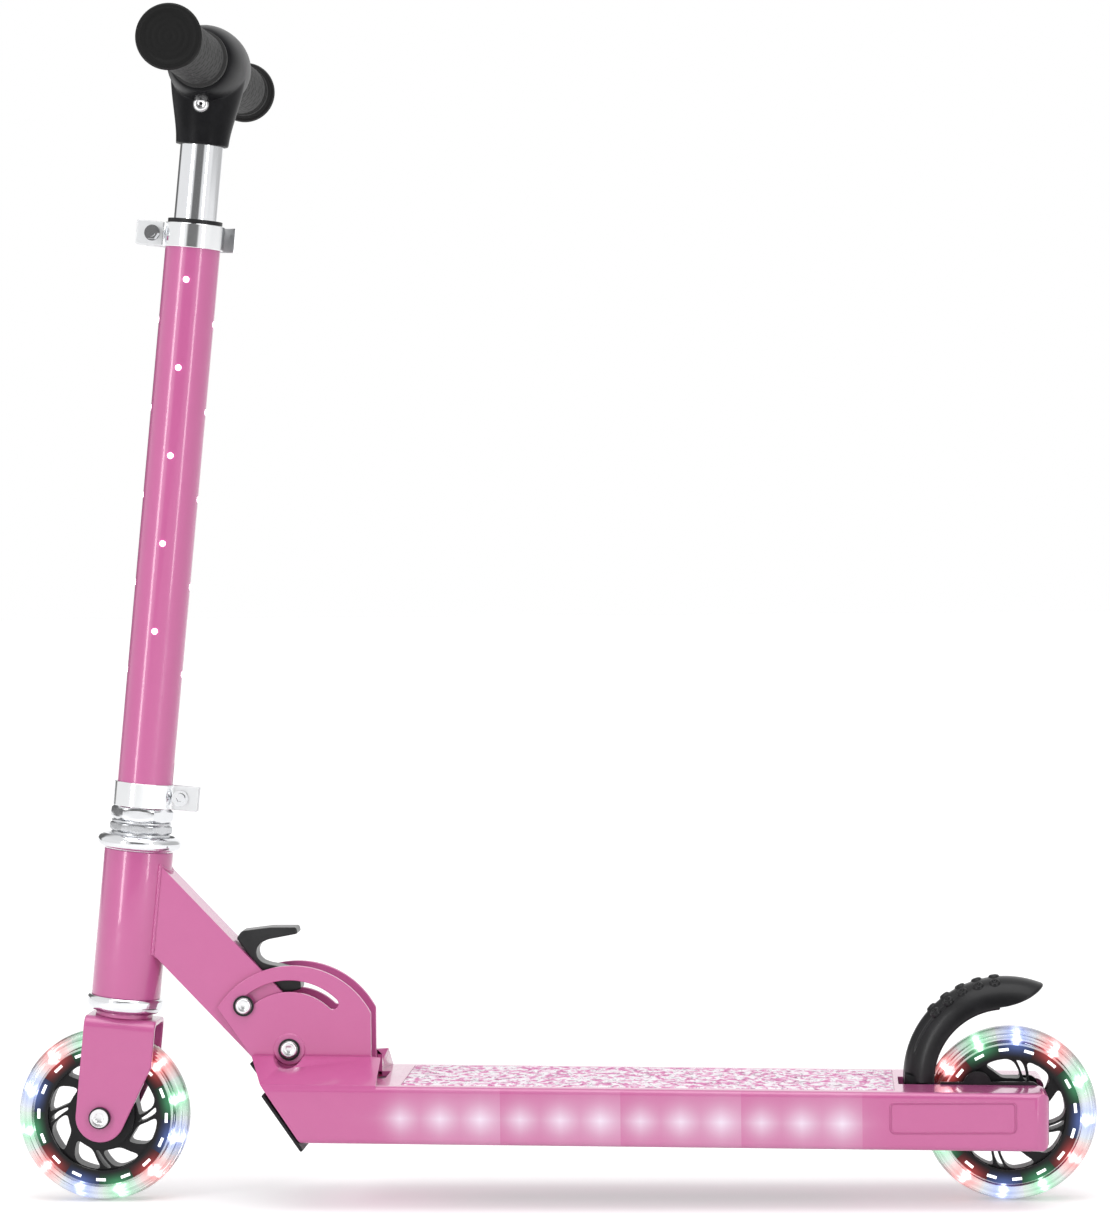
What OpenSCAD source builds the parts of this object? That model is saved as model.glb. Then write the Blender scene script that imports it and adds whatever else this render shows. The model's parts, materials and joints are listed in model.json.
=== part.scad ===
// Folding kick scooter with light-up wheels, stem and deck.
// X runs from the front wheel to the rear wheel, Y to the rider's right, Z up.
// The origin is on the floor, midway between the two axles.

/* [Wheels] */
// Wheel diameter
wheel_d = 100; // [90:1:110]
// Distance between the two axles
wheelbase = 525; // [490:1:580]
// Width of the tyre
tyre_w = 24; // [20:0.5:26]
// Radial thickness of the clear tyre
tyre_h = 10; // [8:0.5:12]
// Radial width of the core's outer ring
core_rim_t = 8; // [6:0.5:9]
// Diameter of the core's hub
hub_d = 38; // [32:1:42]
// Spoke windows round the core
window_count = 8; // [6:1:10]
// Light capsules round each wheel
wheel_led_count = 12; // [6:1:16]
// Wheel bearing outside diameter
bearing_od = 22; // [20:0.5:26]
// Axle diameter
axle_d = 8; // [6:0.5:10]
// Wheel bearing width
bearing_w = 7; // [5:0.5:8]

/* [Steering] */
// Backward lean of the steering axis, in degrees
lean = 5.8; // [3:0.1:10]
// Distance that the front axle lies ahead of the steering axis
rake = 6; // [2:0.5:10]
// Outside width of the fork
fork_w = 38; // [34:0.5:46]
// Length of the fork's side plates across the wheel
fork_d = 41.4; // [38:0.2:46]
// Fork plate thickness
fork_t = 3; // [2:0.25:4]
// Room between the tyre and the fork's crown
tyre_room = 5; // [3:0.5:10]
// Steerer tube diameter
steerer_d = 27.9; // [24:0.1:28.5]
// Steerer tube length above the crown
steerer_len = 182; // [160:1:220]
// Head tube diameter
head_od = 40; // [38:0.5:46]
// Head tube wall
head_wall = 3; // [2:0.25:3.5]
// Head tube length
head_len = 85.5; // [70:0.5:110]
// Height of the bearing cup that shows below the head tube
lower_cup_h = 8.5; // [7:0.5:11]
// Height of the bearing cup that shows above the head tube
upper_cup_h = 9; // [7:0.5:11]

/* [Stem and handlebar] */
// Stem tube diameter
stem_od = 32; // [32:0.25:36]
// Stem tube wall
stem_wall = 2; // [1.5:0.1:2]
// Stem tube length
stem_len = 339; // [300:1:380]
// Telescoping post diameter
post_d = 25; // [22:0.25:25.2]
// Length of the post inside the stem
post_in = 180; // [150:1:200]
// Height of the bar's centre line above the stem
bar_rise = 92; // [86:1:150]
// Width of the handlebar over its grips
bar_w = 330; // [280:1:400]
// Diameter of the cross bar
bar_d = 22; // [20:0.5:25]
// Diameter of the grips
grip_d = 30; // [28:0.5:34]
// Diameter of the flange at each grip's end
flange_d = 36.6; // [34:0.2:42]
// Length of the T cover's barrel
barrel_len = 80; // [60:1:100]
// Diameter of the T cover's barrel
barrel_d = 45.4; // [40:0.2:50]
// Lights in each row on the stem
stem_led_count = 5; // [3:1:5]
// Room between the steerer's top and the light strips in the stem
strip_room = 11.3; // [4:0.1:30]
// Height of the clamp bands
clamp_h = 14; // [10:0.5:18]

/* [Neck and fold] */
// Distance from the front axle back to the hinge bolt
hinge_back = 110.4; // [100:0.2:130]
// Height of the hinge bolt
hinge_z = 89.2; // [84:0.2:96]
// Slope of the neck, in degrees below level
neck_slope = 46.4; // [42:0.2:52]
// Width and depth of the neck's box section
neck_w = 39; // [34:0.5:44]
// Wall of the neck's box section
neck_wall = 2.5; // [2:0.25:4]
// Radius on which the lock bolt swings round the hinge bolt
lock_r = 36.5; // [35:0.25:39]
// Angle that the scooter folds through
fold_angle = 90; // [80:1:92]
// Outer radius of the hinge plates
plate_r = 51.5; // [49:0.25:56]
// Thickness of the hinge plates
plate_t = 3; // [2:0.25:4]
// Diameter of the hinge and lock bolts
pivot_d = 6; // [5:0.25:7]
// Width of the release lever
lever_w = 26; // [20:0.5:28]

/* [Deck] */
// Deck width
deck_w = 110; // [96:1:130]
// Height of the deck's sides
deck_h = 33; // [28:0.5:38]
// Height of the deck's top at mid length
deck_top = 71; // [68:0.25:74]
// Fall of the deck towards the tail, in degrees
deck_tilt = 0.73; // [0:0.01:1.5]
// Deck shell wall
deck_wall = 3; // [2:0.25:4]
// Distance that the tail reaches behind the rear axle
tail = 20.5; // [14:0.5:30]
// Thickness of the grip mat
mat_t = 0.8; // [0.5:0.1:2]
// Lights along each side of the deck
deck_led_count = 12; // [6:1:12]
// Distance between the lights of the deck
deck_led_pitch = 22.8; // [18:0.2:23]
// Distance between the brackets that carry the rear wheel
bracket_room = 28; // [26:0.5:32]

/* [Brake] */
// Width of the brake fender, a half-round channel
fender_w = 33; // [30:0.5:38]
// Height of the fender's top above the floor
fender_top = 128.6; // [122:0.2:134]
// Wall of the fender's channel
fender_wall = 2.6; // [2:0.1:4]
// Rows of studs on the fender
stud_rows = 5; // [3:1:6]

/* [Fits] */
// Radial clearance of a shaft that turns in a hole
fit = 0.05; // [0.02:0.01:0.1]
// Clearance between faces that move past each other
gap = 0.3; // [0.25:0.05:0.5]

/* [Hidden] */
$fn = 64;

pink = "#d873ae";
black = "#1d1d1f";
steel = "#b9bcc0";
chrome = "#dfe2e6";
lamp = "#ffe9f6";

// Wheels
wheel_r = wheel_d / 2;
axle_r = axle_d / 2;
rim_r = wheel_r - tyre_h;
window_out = rim_r - core_rim_t;
window_in = hub_d / 2 + 1.5;
core_w = tyre_w - 4;
spoke_w = core_w - 6;
swirl = 16;
window_half = 180 / window_count - 7;
spoke_slot_half = 3.3;
dash_count = 2 * window_count;
dash_t = 1.6;
dash_len = 5.6;
dash_r = rim_r - 2.7;
led_r = 1.7;
led_len = tyre_h * 0.46;
axle_head_r = axle_r + 2.3;
axle_head_h = 4;
axle_key_r = 2.9;
axle_nut_r = axle_r * 1.85;
axle_nut_h = 7;
axle_nut_dome = 1.4;
front_phase = 11.5;
rear_phase = 24.5;
front_core_phase = -2;
rear_core_phase = -17;

// Steering axis, measured along s from the foot of the axis beside the axle
axis_x = -wheelbase / 2 + rake * cos(lean);
axis_z = wheel_r - rake * sin(lean);
crown_s = wheel_r + tyre_room + fork_t;
race_h = 3.7;
lower_cup_s = crown_s + race_h - 0.4;
head_s = lower_cup_s + lower_cup_h;
head_top_s = head_s + head_len;
cup_wall = 1.5;
pocket_r = head_od / 2 - 1;
bearing_h = 6.5;
lower_cup_r = head_od / 2 + 2;
upper_cup_r = head_od / 2 + 4.2;
adjust_s = head_top_s + 1 + bearing_h + gap;
adjust_h = 8;
washer_h = 1.2;
nut_h = 8.2;
nut_r = steerer_d / 2 + 4.3;
washer_s = adjust_s + adjust_h;
locknut_s = washer_s + washer_h;
stem_s = locknut_s + nut_h + 0.2;
stem_top_s = stem_s + stem_len;
steerer_r = steerer_d / 2;
steerer_wall = 2;
fork_leg_r = fork_d / 2 - rake - 0.3;
fork_front = -rake - fork_leg_r;
fork_back = fork_front + fork_d;
fork_waist = 0.55 * crown_s;

// Stem and handlebar
stem_r = stem_od / 2;
stem_in = stem_r - stem_wall;
post_r = post_d / 2;
post_wall = 1.5;
post_s = stem_top_s - post_in;
bush_lip = 2.5;
bush_len = 18;
bar_s = stem_top_s + bar_rise;
bar_r = bar_d / 2;
barrel_r = barrel_d / 2;
collar_s = bar_s - barrel_r - 23.5;
collar_r = post_r + 2.8;
bolt_s = bar_s - barrel_r - 1;
stem_led_r = 1.6;
strip_w = 6;
strip_t = min(0.9, stem_in - post_r - 0.45);
led_top_s = stem_top_s - 32.6;
row_offset = 24;
strip_end = 8;
strip_foot_s = crown_s + steerer_len + strip_room;
stem_led_pitch = (led_top_s - row_offset - strip_end - strip_foot_s) / (stem_led_count - 1);
clamp_t = 1.5;
clamp_r = stem_r + fit + clamp_t;
ear_in = 2;
ear_t = 2.5;
ear_out = ear_in + ear_t;
upper_clamp_s = stem_top_s - clamp_h;
skewer_x = -(clamp_r + 6.2);
skewer_r = 2.4;
cam_y = ear_out + 6.5;
cam_r = 5.2;
cam_lever_r = clamp_r + 4.5;
lower_bolt_x = clamp_r + 4.4;
lower_ear = 14.6;
grip_s = barrel_len / 2 + 0.4;
bar_half = bar_w / 2 - 5;

// Neck, hinge and lock
hinge_x = -wheelbase / 2 + hinge_back;
neck_half = neck_w / 2;
pivot_r = pivot_d / 2;
hinge_dx = hinge_x - axis_x;
hinge_dz = hinge_z - axis_z;
neck_reach = (hinge_dx * cos(lean) - hinge_dz * sin(lean)) / cos(neck_slope - lean);
lock_angle = 180 - neck_slope + 2.5;
plate_in = neck_half + gap + 0.2;
plate_out = plate_in + plate_t;
plate_dx = 1.8;
plate_dz = -3.2;
slot_room = 0.35;
bolt_washer = 1.2;
bolt_head = 2.2;
bolt_key_r = 2;
side_nut_h = 4.8;
plate_foot = deck_top - deck_h + deck_wall + 0.3 - (hinge_x - 20) * tan(deck_tilt);
lever_x = -34.2;
lever_z = neck_half - 3.5;
lever_pin_r = 2;
lever_pin_half = neck_half - 1;

// Deck, in a frame tilted about the middle of its top
nose_x = hinge_x + 10.4;
tail_x = wheelbase / 2 + tail;
nose_top_x = hinge_x - 23;
spine_half = plate_in;
shoulder_z = 12.8;
shoulder_x = hinge_x + plate_dx + plate_r;
slot_half = max(bracket_room / 2 + plate_t + gap, fender_w / 2 + 0.8);
slot_x = wheelbase / 2 - wheel_r - 14;
bay_in = 26;
cap_t = 2;
mat_x0 = shoulder_x + 14;
mat_x1 = slot_x - 3;
carrier_t = 1.2;
led_x0 = mat_x0;
led_z = -0.55 * deck_h;
battery_len = 0.34 * (mat_x1 - mat_x0);
battery_x = mat_x0 + 0.21 * (mat_x1 - mat_x0);
battery_h = 0.58 * deck_h;
bracket_in = bracket_room / 2;
bracket_out = bracket_in + plate_t;
bracket_foot = deck_top - deck_h - 1;
bracket_head = deck_top - 1.5;
tongue_z = deck_top - deck_h + 8;
tongue_h = 14;

// Brake fender: a half-round channel bent round an arc that starts at the fender's front
fender_half = fender_w / 2;
fender_cz = deck_top - 1;
fender_r = fender_top - fender_cz;
fender_side_r = fender_r - fender_half;
fender_x = wheelbase / 2 - wheel_r - 11.1;
fender_cx = fender_x + fender_r;
fender_dip = 4.5;
fender_reach = 22;
fender_turn = 180 + fender_dip - acos(fender_reach / fender_r);
fender_pin_x = fender_x + 5;
fender_pin_z = deck_top - 12;
fender_pin_r = 2.5;
fender_boss_r = 5.4;
fender_foot_half = bracket_in - gap;
foot_depth = 11;
rib_room = 13;
rib_t = 2;
crease_at = 42;
stud_r = 2.6;
stud_h = 1.8;
stud_row0 = 136;
stud_step = 40 / max(stud_rows - 1, 1);
stud_tilt = 33;
bracket_low = fender_pin_z + fender_pin_r + 1.9;

function bez(p, q, r, s, n) = [for (i = [0 : n]) let (t = i / n, u = 1 - t)
    u * u * u * p + 3 * u * u * t * q + 3 * u * t * t * r + t * t * t * s];
function arc(cx, cy, r, a0, a1, n) = [for (i = [0 : n]) let (a = a0 + (a1 - a0) * i / n)
    [cx + r * cos(a), cy + r * sin(a)]];
function unit(v) = v / norm(v);

module at_front_axle() translate([-wheelbase / 2, 0, wheel_r]) rotate([90, 0, 0]) children();
module at_rear_axle() translate([wheelbase / 2, 0, wheel_r]) rotate([90, 0, 0]) children();
module on_axis(s = 0) translate([axis_x, 0, axis_z]) rotate([0, lean, 0]) translate([0, 0, s]) children();
module at_hinge() translate([hinge_x, 0, hinge_z]) children();
module in_neck() at_hinge() rotate([0, neck_slope, 0]) children();
module on_deck() translate([0, 0, deck_top]) rotate([0, deck_tilt, 0]) children();
// A profile drawn in X and Z, made h thick and centred on Y
module across(h) rotate([90, 0, 0]) linear_extrude(h, center = true) children();
module both() { children(); mirror([0, 1, 0]) children(); }
// A rod along Y from y0 to y1
module rod(r, y0, y1, sides = 48) translate([0, y0, 0]) rotate([-90, 0, 0])
    cylinder(r = r, h = y1 - y0, $fn = sides);
module tube(r, bore, h) difference() {
    cylinder(r = r, h = h);
    translate([0, 0, -1]) cylinder(r = bore, h = h + 2);
}
// A rectangle with round corners, built from true arcs
module round_box(w, h, r) {
    square([w - 2 * r, h], center = true);
    square([w, h - 2 * r], center = true);
    for (x = [-1, 1], y = [-1, 1]) translate([x * (w / 2 - r), y * (h / 2 - r)]) circle(r, $fn = 32);
}
// A wire that follows points of its own, as one closed mesh
module wire(pts, r, sides = 8) {
    n = len(pts);
    dirs = [for (i = [0 : n - 1]) unit(pts[min(i + 1, n - 1)] - pts[max(i - 1, 0)])];
    rings = [for (i = [0 : n - 1]) let (d = dirs[i],
        a = unit(cross(d, abs(d[1]) < 0.9 ? [0, 1, 0] : [1, 0, 0])), b = cross(d, a))
        for (k = [0 : sides - 1]) let (q = 360 * k / sides) pts[i] + r * (cos(q) * a + sin(q) * b)];
    sides_faces = [for (i = [0 : n - 2], k = [0 : sides - 1]) let (m = (k + 1) % sides)
        [i * sides + k, i * sides + m, (i + 1) * sides + m, (i + 1) * sides + k]];
    polyhedron(points = rings, faces = concat(sides_faces, [[for (k = [sides - 1 : -1 : 0]) k]],
        [[for (k = [0 : sides - 1]) (n - 1) * sides + k]]), convexity = 6);
}

// ---- wheels ----
module tyre() color("#c9d4dc", 0.5) difference() {
    rotate_extrude($fn = 96) polygon(concat(
        [[rim_r, -tyre_w / 2 + 1.5], [rim_r, tyre_w / 2 - 1.5], [rim_r + 1.2, tyre_w / 2]],
        [for (a = [90 : -15 : -90]) [wheel_r - tyre_h * 0.6 + tyre_h * 0.6 * cos(a), tyre_w / 2 * sin(a)]],
        [[rim_r + 1.2, -tyre_w / 2]]));
    wheel_led_places() cylinder(r = led_r + fit, h = led_len + 1 + fit, $fn = 24);
}
module wheel_led_places() for (i = [0 : wheel_led_count - 1])
    rotate([0, 90, i * 360 / wheel_led_count]) translate([0, 0, rim_r - 1]) children();
module wheel_leds() color(lamp) wheel_led_places() translate([0, 0, 1]) rotate_extrude($fn = 24)
    polygon(concat([[0, 0], [led_r, 0]], arc(0, led_len - led_r, led_r, 0, 90, 5)));
// Short slots round the rim, each filled by a clear key
module dash_places() for (i = [0 : dash_count - 1])
    rotate(i * 360 / dash_count) translate([dash_r, 0, 0]) children();
module clear_keys() color(lamp) dash_places()
    cube([dash_t - 0.04, dash_len - 0.04, core_w - 0.2], center = true);
module light_set(phase, core_phase) {
    rotate(phase) wheel_leds();
    rotate(core_phase) clear_keys();
}
// A spoke window: a superellipse in radius and angle about angle a, swirled outwards
module window(a, half, r0, r1) polygon([for (i = [0 : 27]) let (
    t = i * 360 / 28, u = sign(cos(t)) * pow(abs(cos(t)), 0.5), v = sign(sin(t)) * pow(abs(sin(t)), 0.5),
    r = (r0 + r1) / 2 + u * (r1 - r0) / 2, q = a + v * half + swirl * (u / 2)) [r * cos(q), r * sin(q)]]);
module core() color(black) difference() {
    union() {
        translate([0, 0, -core_w / 2]) tube(rim_r - 0.02, window_out, core_w);
        translate([0, 0, -spoke_w / 2]) cylinder(r = window_out + 1, h = spoke_w, $fn = 96);
        translate([0, 0, -tyre_w / 2]) cylinder(r = hub_d / 2, h = tyre_w);
    }
    step = 360 / window_count;
    for (i = [0 : window_count - 1]) translate([0, 0, -core_w]) linear_extrude(2 * core_w)
        window((i + 0.5) * step, window_half, window_in, window_out - 0.3);
    // A slot down each second spoke
    for (i = [0 : 2 : window_count - 1]) translate([0, 0, -core_w]) linear_extrude(2 * core_w)
        window(i * step, spoke_slot_half, window_in + 0.4, window_out - 0.9);
    dash_places() cube([dash_t, dash_len, 3 * core_w], center = true);
    for (z = [-1, 1]) translate([0, 0, z * (tyre_w / 2 - bearing_w / 2 + 0.5)])
        cylinder(r = bearing_od / 2 + 0.01, h = bearing_w + 1, center = true);
    cylinder(r = bearing_od / 2 - 3, h = tyre_w, center = true);
}
module bearings() color(steel) for (z = [0, 1]) mirror([0, 0, z]) translate([0, 0, tyre_w / 2 - bearing_w])
    rotate_extrude() {
        o = bearing_od / 2;
        rib = 1.8;
        polygon([[axle_r, 0], [axle_r + rib, 0], [axle_r + rib, 0.5], [o - rib, 0.5], [o - rib, 0], [o, 0],
            [o, bearing_w], [o - rib, bearing_w], [o - rib, bearing_w - 0.5], [axle_r + rib, bearing_w - 0.5],
            [axle_r + rib, bearing_w], [axle_r, bearing_w]]);
    }
// Sleeve between the bearings and a washer outside each, up to the plates at room apart
module axle_spacers(room) color(steel) {
    inner = tyre_w - 2 * bearing_w - 0.4;
    translate([0, 0, -inner / 2]) tube(axle_r + 2.4, axle_r, inner);
    for (z = [0, 1]) mirror([0, 0, z]) translate([0, 0, tyre_w / 2 + 0.2])
        tube(axle_r + 2.4, axle_r, room / 2 - tyre_w / 2 - 0.2);
}
// Axle bolt through plates whose outer faces are width apart, its head on the near side
module axle_bolt(width) color(chrome) difference() {
    union() {
        translate([0, 0, -width / 2 - axle_nut_h - 2]) cylinder(r = axle_r - fit, h = width + axle_nut_h + 2);
        translate([0, 0, width / 2]) cylinder(r = axle_head_r, h = axle_head_h - 1);
        translate([0, 0, width / 2 + axle_head_h - 1])
            cylinder(r1 = axle_head_r, r2 = axle_head_r - 1, h = 1, $fn = 48);
    }
    translate([0, 0, width / 2 + axle_head_h * 0.4]) cylinder(r = axle_key_r, h = axle_head_h, $fn = 6);
}
module axle_nut(width) color(steel) translate([0, 0, -width / 2 - axle_nut_h]) difference() {
    union() {
        cylinder(r = axle_nut_r, h = axle_nut_h, $fn = 6);
        translate([0, 0, -axle_nut_dome]) cylinder(r = axle_r * 1.35, h = axle_nut_dome);
    }
    translate([0, 0, -2]) cylinder(r = axle_r - fit, h = axle_nut_h + 3);
}

// ---- deck ----
// Outline of the deck seen from the side: a sloping nose and a rounded tail
module deck_side(inset = 0) {
    i = inset;
    r = max(5 - i, 1);
    nose_slope = (nose_x - nose_top_x) / (hinge_z - 3 - (deck_top - deck_h));
    top_z = shoulder_z;
    difference() {
        union() {
            translate([nose_top_x - 40, -deck_h + i])
                square([tail_x - nose_top_x + 40 - i - r, deck_h - 2 * i]);
            translate([tail_x - 40 - i, -deck_h + i + r]) square([40, deck_h - 2 * i - 2 * r]);
            for (z = [-deck_h + i + r, -i - r]) translate([tail_x - i - r, z]) circle(r, $fn = 48);
            translate([nose_top_x - 40, -deck_h / 2])
                square([shoulder_x - nose_top_x + 40 - i, deck_h / 2 + top_z]);
        }
        translate([nose_x + i * 1.2, -deck_h]) rotate(atan(nose_slope))
            translate([-200, -100]) square([200, 300]);
    }
}
// Cross section of the deck: a box with rounded edges, and the shoulder that rises to the hinge
module deck_section(inset = 0, shoulder = true) {
    i = inset;
    translate([0, -deck_h / 2]) round_box(deck_w - 2 * i, deck_h - 2 * i, 3.5 - min(i, 2));
    if (shoulder) polygon([[-deck_w / 2 + i, -3.5], [deck_w / 2 - i, -3.5], [deck_w / 2 - i - 1, 0.4 - i],
        [plate_out + 1, shoulder_z - i], [-plate_out - 1, shoulder_z - i], [-deck_w / 2 + i + 1, 0.4 - i]]);
}
module along_deck(x0, x1) translate([x0, 0, 0]) rotate([90, 0, 90]) linear_extrude(x1 - x0) children();
module deck_form(inset = 0) intersection() {
    across(deck_w + 10) deck_side(inset);
    union() {
        along_deck(nose_top_x - 20, shoulder_x - inset) deck_section(inset);
        along_deck(shoulder_x - inset - 1, tail_x + 1) deck_section(inset, false);
    }
    translate([0, 0, -deck_h - 1]) linear_extrude(deck_h + 30) translate([tail_x - 250, 0])
        round_box(500, deck_w, 9);
}
module shell_walls() difference() {
    on_deck() deck_form();
    difference() {
        on_deck() deck_form(deck_wall);
        // Solid walls stay round the wheel slot
        on_deck() translate([slot_x - deck_wall, -slot_half - deck_wall, -deck_h - 1])
            cube([200, 2 * (slot_half + deck_wall), deck_h + 20]);
    }
}
module deck_shell() color(pink) difference() {
    union() {
        shell_walls();
        // Lugs that the underside cover is screwed to
        on_deck() cover_screw_places() translate([-4, -12, deck_wall - 0.4]) cube([8, 14, 7]);
    }
    // Well that the hinge plates and the neck stand in
    on_deck() translate([nose_top_x - 40, -plate_out - 0.2, -deck_h + deck_wall])
        cube([shoulder_x + 2 - nose_top_x + 40, 2 * (plate_out + 0.2), 80]);
    // Round relief in the shoulder for the ring about the hinge bolt
    at_hinge() rod(pivot_r + 6 + gap, -60, 60);
    // Slot for the rear wheel
    on_deck() translate([slot_x, -slot_half, -deck_h - 5]) cube([200, 2 * slot_half, deck_h + 20]);
    // Recess for the grip mat
    on_deck() translate([mat_x0 - 0.3, -deck_w / 2 + 9.7, -mat_t + 0.3])
        cube([mat_x1 - mat_x0 + 0.6, deck_w - 19.4, 5]);
    // Opening for the underside cover
    on_deck() translate([mat_x0 + 20, -bay_in, -deck_h - 1])
        cube([mat_x1 - mat_x0 - 40, 2 * bay_in, deck_wall + 1]);
    // Ways through the slot's walls for the brackets and the axle's ends
    both() translate([slot_x - deck_wall - 1, -bracket_out - 0.2, tongue_z - 0.2])
        cube([deck_wall + 2, plate_t + 0.4, tongue_h + 0.4]);
    at_rear_axle() cylinder(r = axle_nut_r + 1, h = 2 * slot_half + 20, center = true);
    on_deck() cover_screw_places() cylinder(r = 1.6, h = 12, $fn = 24);
}
module spine_section() difference() {
    square([2 * spine_half, deck_h - 2 * deck_wall - 1.2], center = true);
    translate([0, -3]) square([2 * spine_half - 2 * plate_t, deck_h - 2 * deck_wall - 1.2], center = true);
}
module deck_spine() color(steel) on_deck() difference() {
    translate([0, 0, -deck_h / 2 + 0.3]) along_deck(hinge_x - 2, slot_x - deck_wall - gap) spine_section();
    translate([hinge_x - 10, -spine_half - 1, -deck_h]) cube([34, 2 * spine_half + 2, deck_h - 8]);
}
module hinge_plate(side) color(pink) mirror([0, side, 0]) difference() {
    union() {
        translate([0, -(plate_in + plate_out) / 2, 0]) across(plate_t) plate_outline();
        // Pressed ring round the hinge bolt
        at_hinge() rod(pivot_r + 6, -plate_out - 0.8, -plate_in);
    }
    at_hinge() {
        rod(pivot_r + fit, -plate_out - 5, 0);
        // Arc slot for the lock bolt
        translate([0, -(plate_in + plate_out) / 2, 0]) across(plate_t + 1) arc_slot();
    }
}
module plate_outline() difference() {
    union() {
        translate([hinge_x + plate_dx, hinge_z + plate_dz]) circle(plate_r, $fn = 128);
        translate([hinge_x - 60, plate_foot])
            square([plate_dx + plate_r + 60, hinge_z + plate_dz - plate_foot]);
    }
    translate([hinge_x - 100, plate_foot - 100]) square([200, 100]);
    // The front follows the neck's lower edge, then the deck's nose
    translate([hinge_x, hinge_z]) rotate(-neck_slope) translate([-150, -neck_half - 100]) square([150, 100]);
    translate([nose_top_x, hinge_z - 3]) rotate(-atan((hinge_z - 3 - deck_top + deck_h)
        / (nose_x - nose_top_x))) translate([-150, -200]) square([300, 200]);
}
module arc_slot() {
    w = pivot_r + slot_room;
    a0 = lock_angle - fold_angle;
    polygon(concat(arc(0, 0, lock_r + w, a0, lock_angle, 32), arc(0, 0, lock_r - w, lock_angle, a0, 32)));
    for (a = [a0, lock_angle]) translate([lock_r * cos(a), lock_r * sin(a)]) circle(w, $fn = 48);
}
module front_cap() color(black) difference() {
    translate([nose_top_x, 0, hinge_z - 3]) rotate([0, atan((hinge_z - 3 - deck_top + deck_h)
        / (nose_x - nose_top_x)), 0]) {
        len = norm([hinge_z - 3 - deck_top + deck_h, nose_x - nose_top_x]);
        lip = 2.5;
        translate([4, -plate_out, -cap_t - 0.2]) cube([len - 4 + lip, 2 * plate_out, cap_t]);
        translate([22, -deck_w / 2 + 1.5, -cap_t - 0.2]) cube([len - 22 + lip, deck_w - 3, cap_t]);
    }
    at_hinge() rod(neck_half + 1, -60, 60);
}
module underside_cover() color(black) on_deck() difference() {
    translate([mat_x0 + 20 + gap, -bay_in + gap, -deck_h + 0.4])
        cube([mat_x1 - mat_x0 - 40 - 2 * gap, 2 * bay_in - 2 * gap, deck_wall - 0.4]);
    cover_screw_places() translate([0, 0, -1]) cylinder(r = 3.2, h = 2.6, $fn = 32);
    cover_screw_places() cylinder(r = 1.7, h = 20, $fn = 24);
}
module cover_screw_places() both() for (x = [mat_x0 + 27, (mat_x0 + mat_x1) / 2, mat_x1 - 27])
    translate([x, -bay_in + 3.7, -deck_h + 0.4]) children();
module cover_screws() color(steel) on_deck() cover_screw_places() difference() {
    union() {
        translate([0, 0, 0.3]) cylinder(r = 3, h = 1.3, $fn = 32);
        cylinder(r = 1.6, h = 9, $fn = 24);
    }
    for (a = [0, 90]) rotate(a) cube([3.4, 0.8, 1.6], center = true);
}
module grip_mat() color("#f3b6d9") on_deck() translate([mat_x0, -deck_w / 2 + 10, -mat_t + 0.3])
    cube([mat_x1 - mat_x0, deck_w - 20, mat_t]);
module deck_lights() color(lamp) on_deck() both() {
    y = -deck_w / 2 + deck_wall;
    translate([led_x0 - 8, y, led_z - 7]) cube([deck_led_pitch * (deck_led_count - 1) + 16, carrier_t, 14]);
    for (i = [0 : deck_led_count - 1]) translate([led_x0 + i * deck_led_pitch, y + carrier_t, led_z])
        rotate([-90, 0, 0]) cylinder(r = 2.5, h = 2, $fn = 24);
}
module battery_box() color(black) on_deck() difference() {
    half = spine_half - plate_t - gap;
    wall = 2;
    translate([battery_x, -half, -deck_h + deck_wall + 0.1]) cube([battery_len, 2 * half, battery_h]);
    translate([battery_x + wall, -half + wall, -deck_h + deck_wall + wall])
        cube([battery_len - 2 * wall, 2 * (half - wall), battery_h - 2 * wall]);
}
module rear_bracket(side) color(black) mirror([0, side, 0]) difference() {
    translate([0, -(bracket_in + bracket_out) / 2, 0]) across(plate_t) difference() {
        union() {
            translate([(slot_x + gap + tail_x - 4) / 2, (bracket_foot + bracket_head) / 2])
                round_box(tail_x - 4 - slot_x - gap, bracket_head - bracket_foot, 5);
            // Round lobe that shows above the deck, ahead of the axle
            translate([fender_cx - 16.5, bracket_head - 2]) circle(8);
            // Tongue that is welded inside the spine
            translate([slot_x - 20, tongue_z]) square([30, tongue_h]);
        }
        // The front is lower, where the fender's foot swings over it
        translate([slot_x - 30, bracket_low]) square([fender_x + 21 - slot_x + 30, 20]);
    }
    at_rear_axle() cylinder(r = axle_r + fit, h = 100, center = true);
    at_fender_pin() rod(fender_pin_r, -40, 40);
}
module fender_pin() color(steel) at_fender_pin()
    rod(fender_pin_r - 0.01, -bracket_out - 0.2, bracket_out + 0.2);

// ---- brake fender ----
// In the plane of the fender's arc, with X and Z as the first two axes
module at_fender() translate([fender_cx, 0, fender_cz]) rotate([90, 0, 0]) children();
module at_fender_pin() translate([fender_pin_x, 0, fender_pin_z]) children();
// Half a ring, which is the section of the channel
module half_ring(inner, outer) polygon(concat(
    arc(fender_side_r, 0, outer, -90, 90, 24), arc(fender_side_r, 0, inner, 90, -90, 24)));
module channel() rotate(180 + fender_dip - fender_turn) rotate_extrude(angle = fender_turn, $fn = 128)
    half_ring(fender_half - fender_wall, fender_half);
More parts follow.
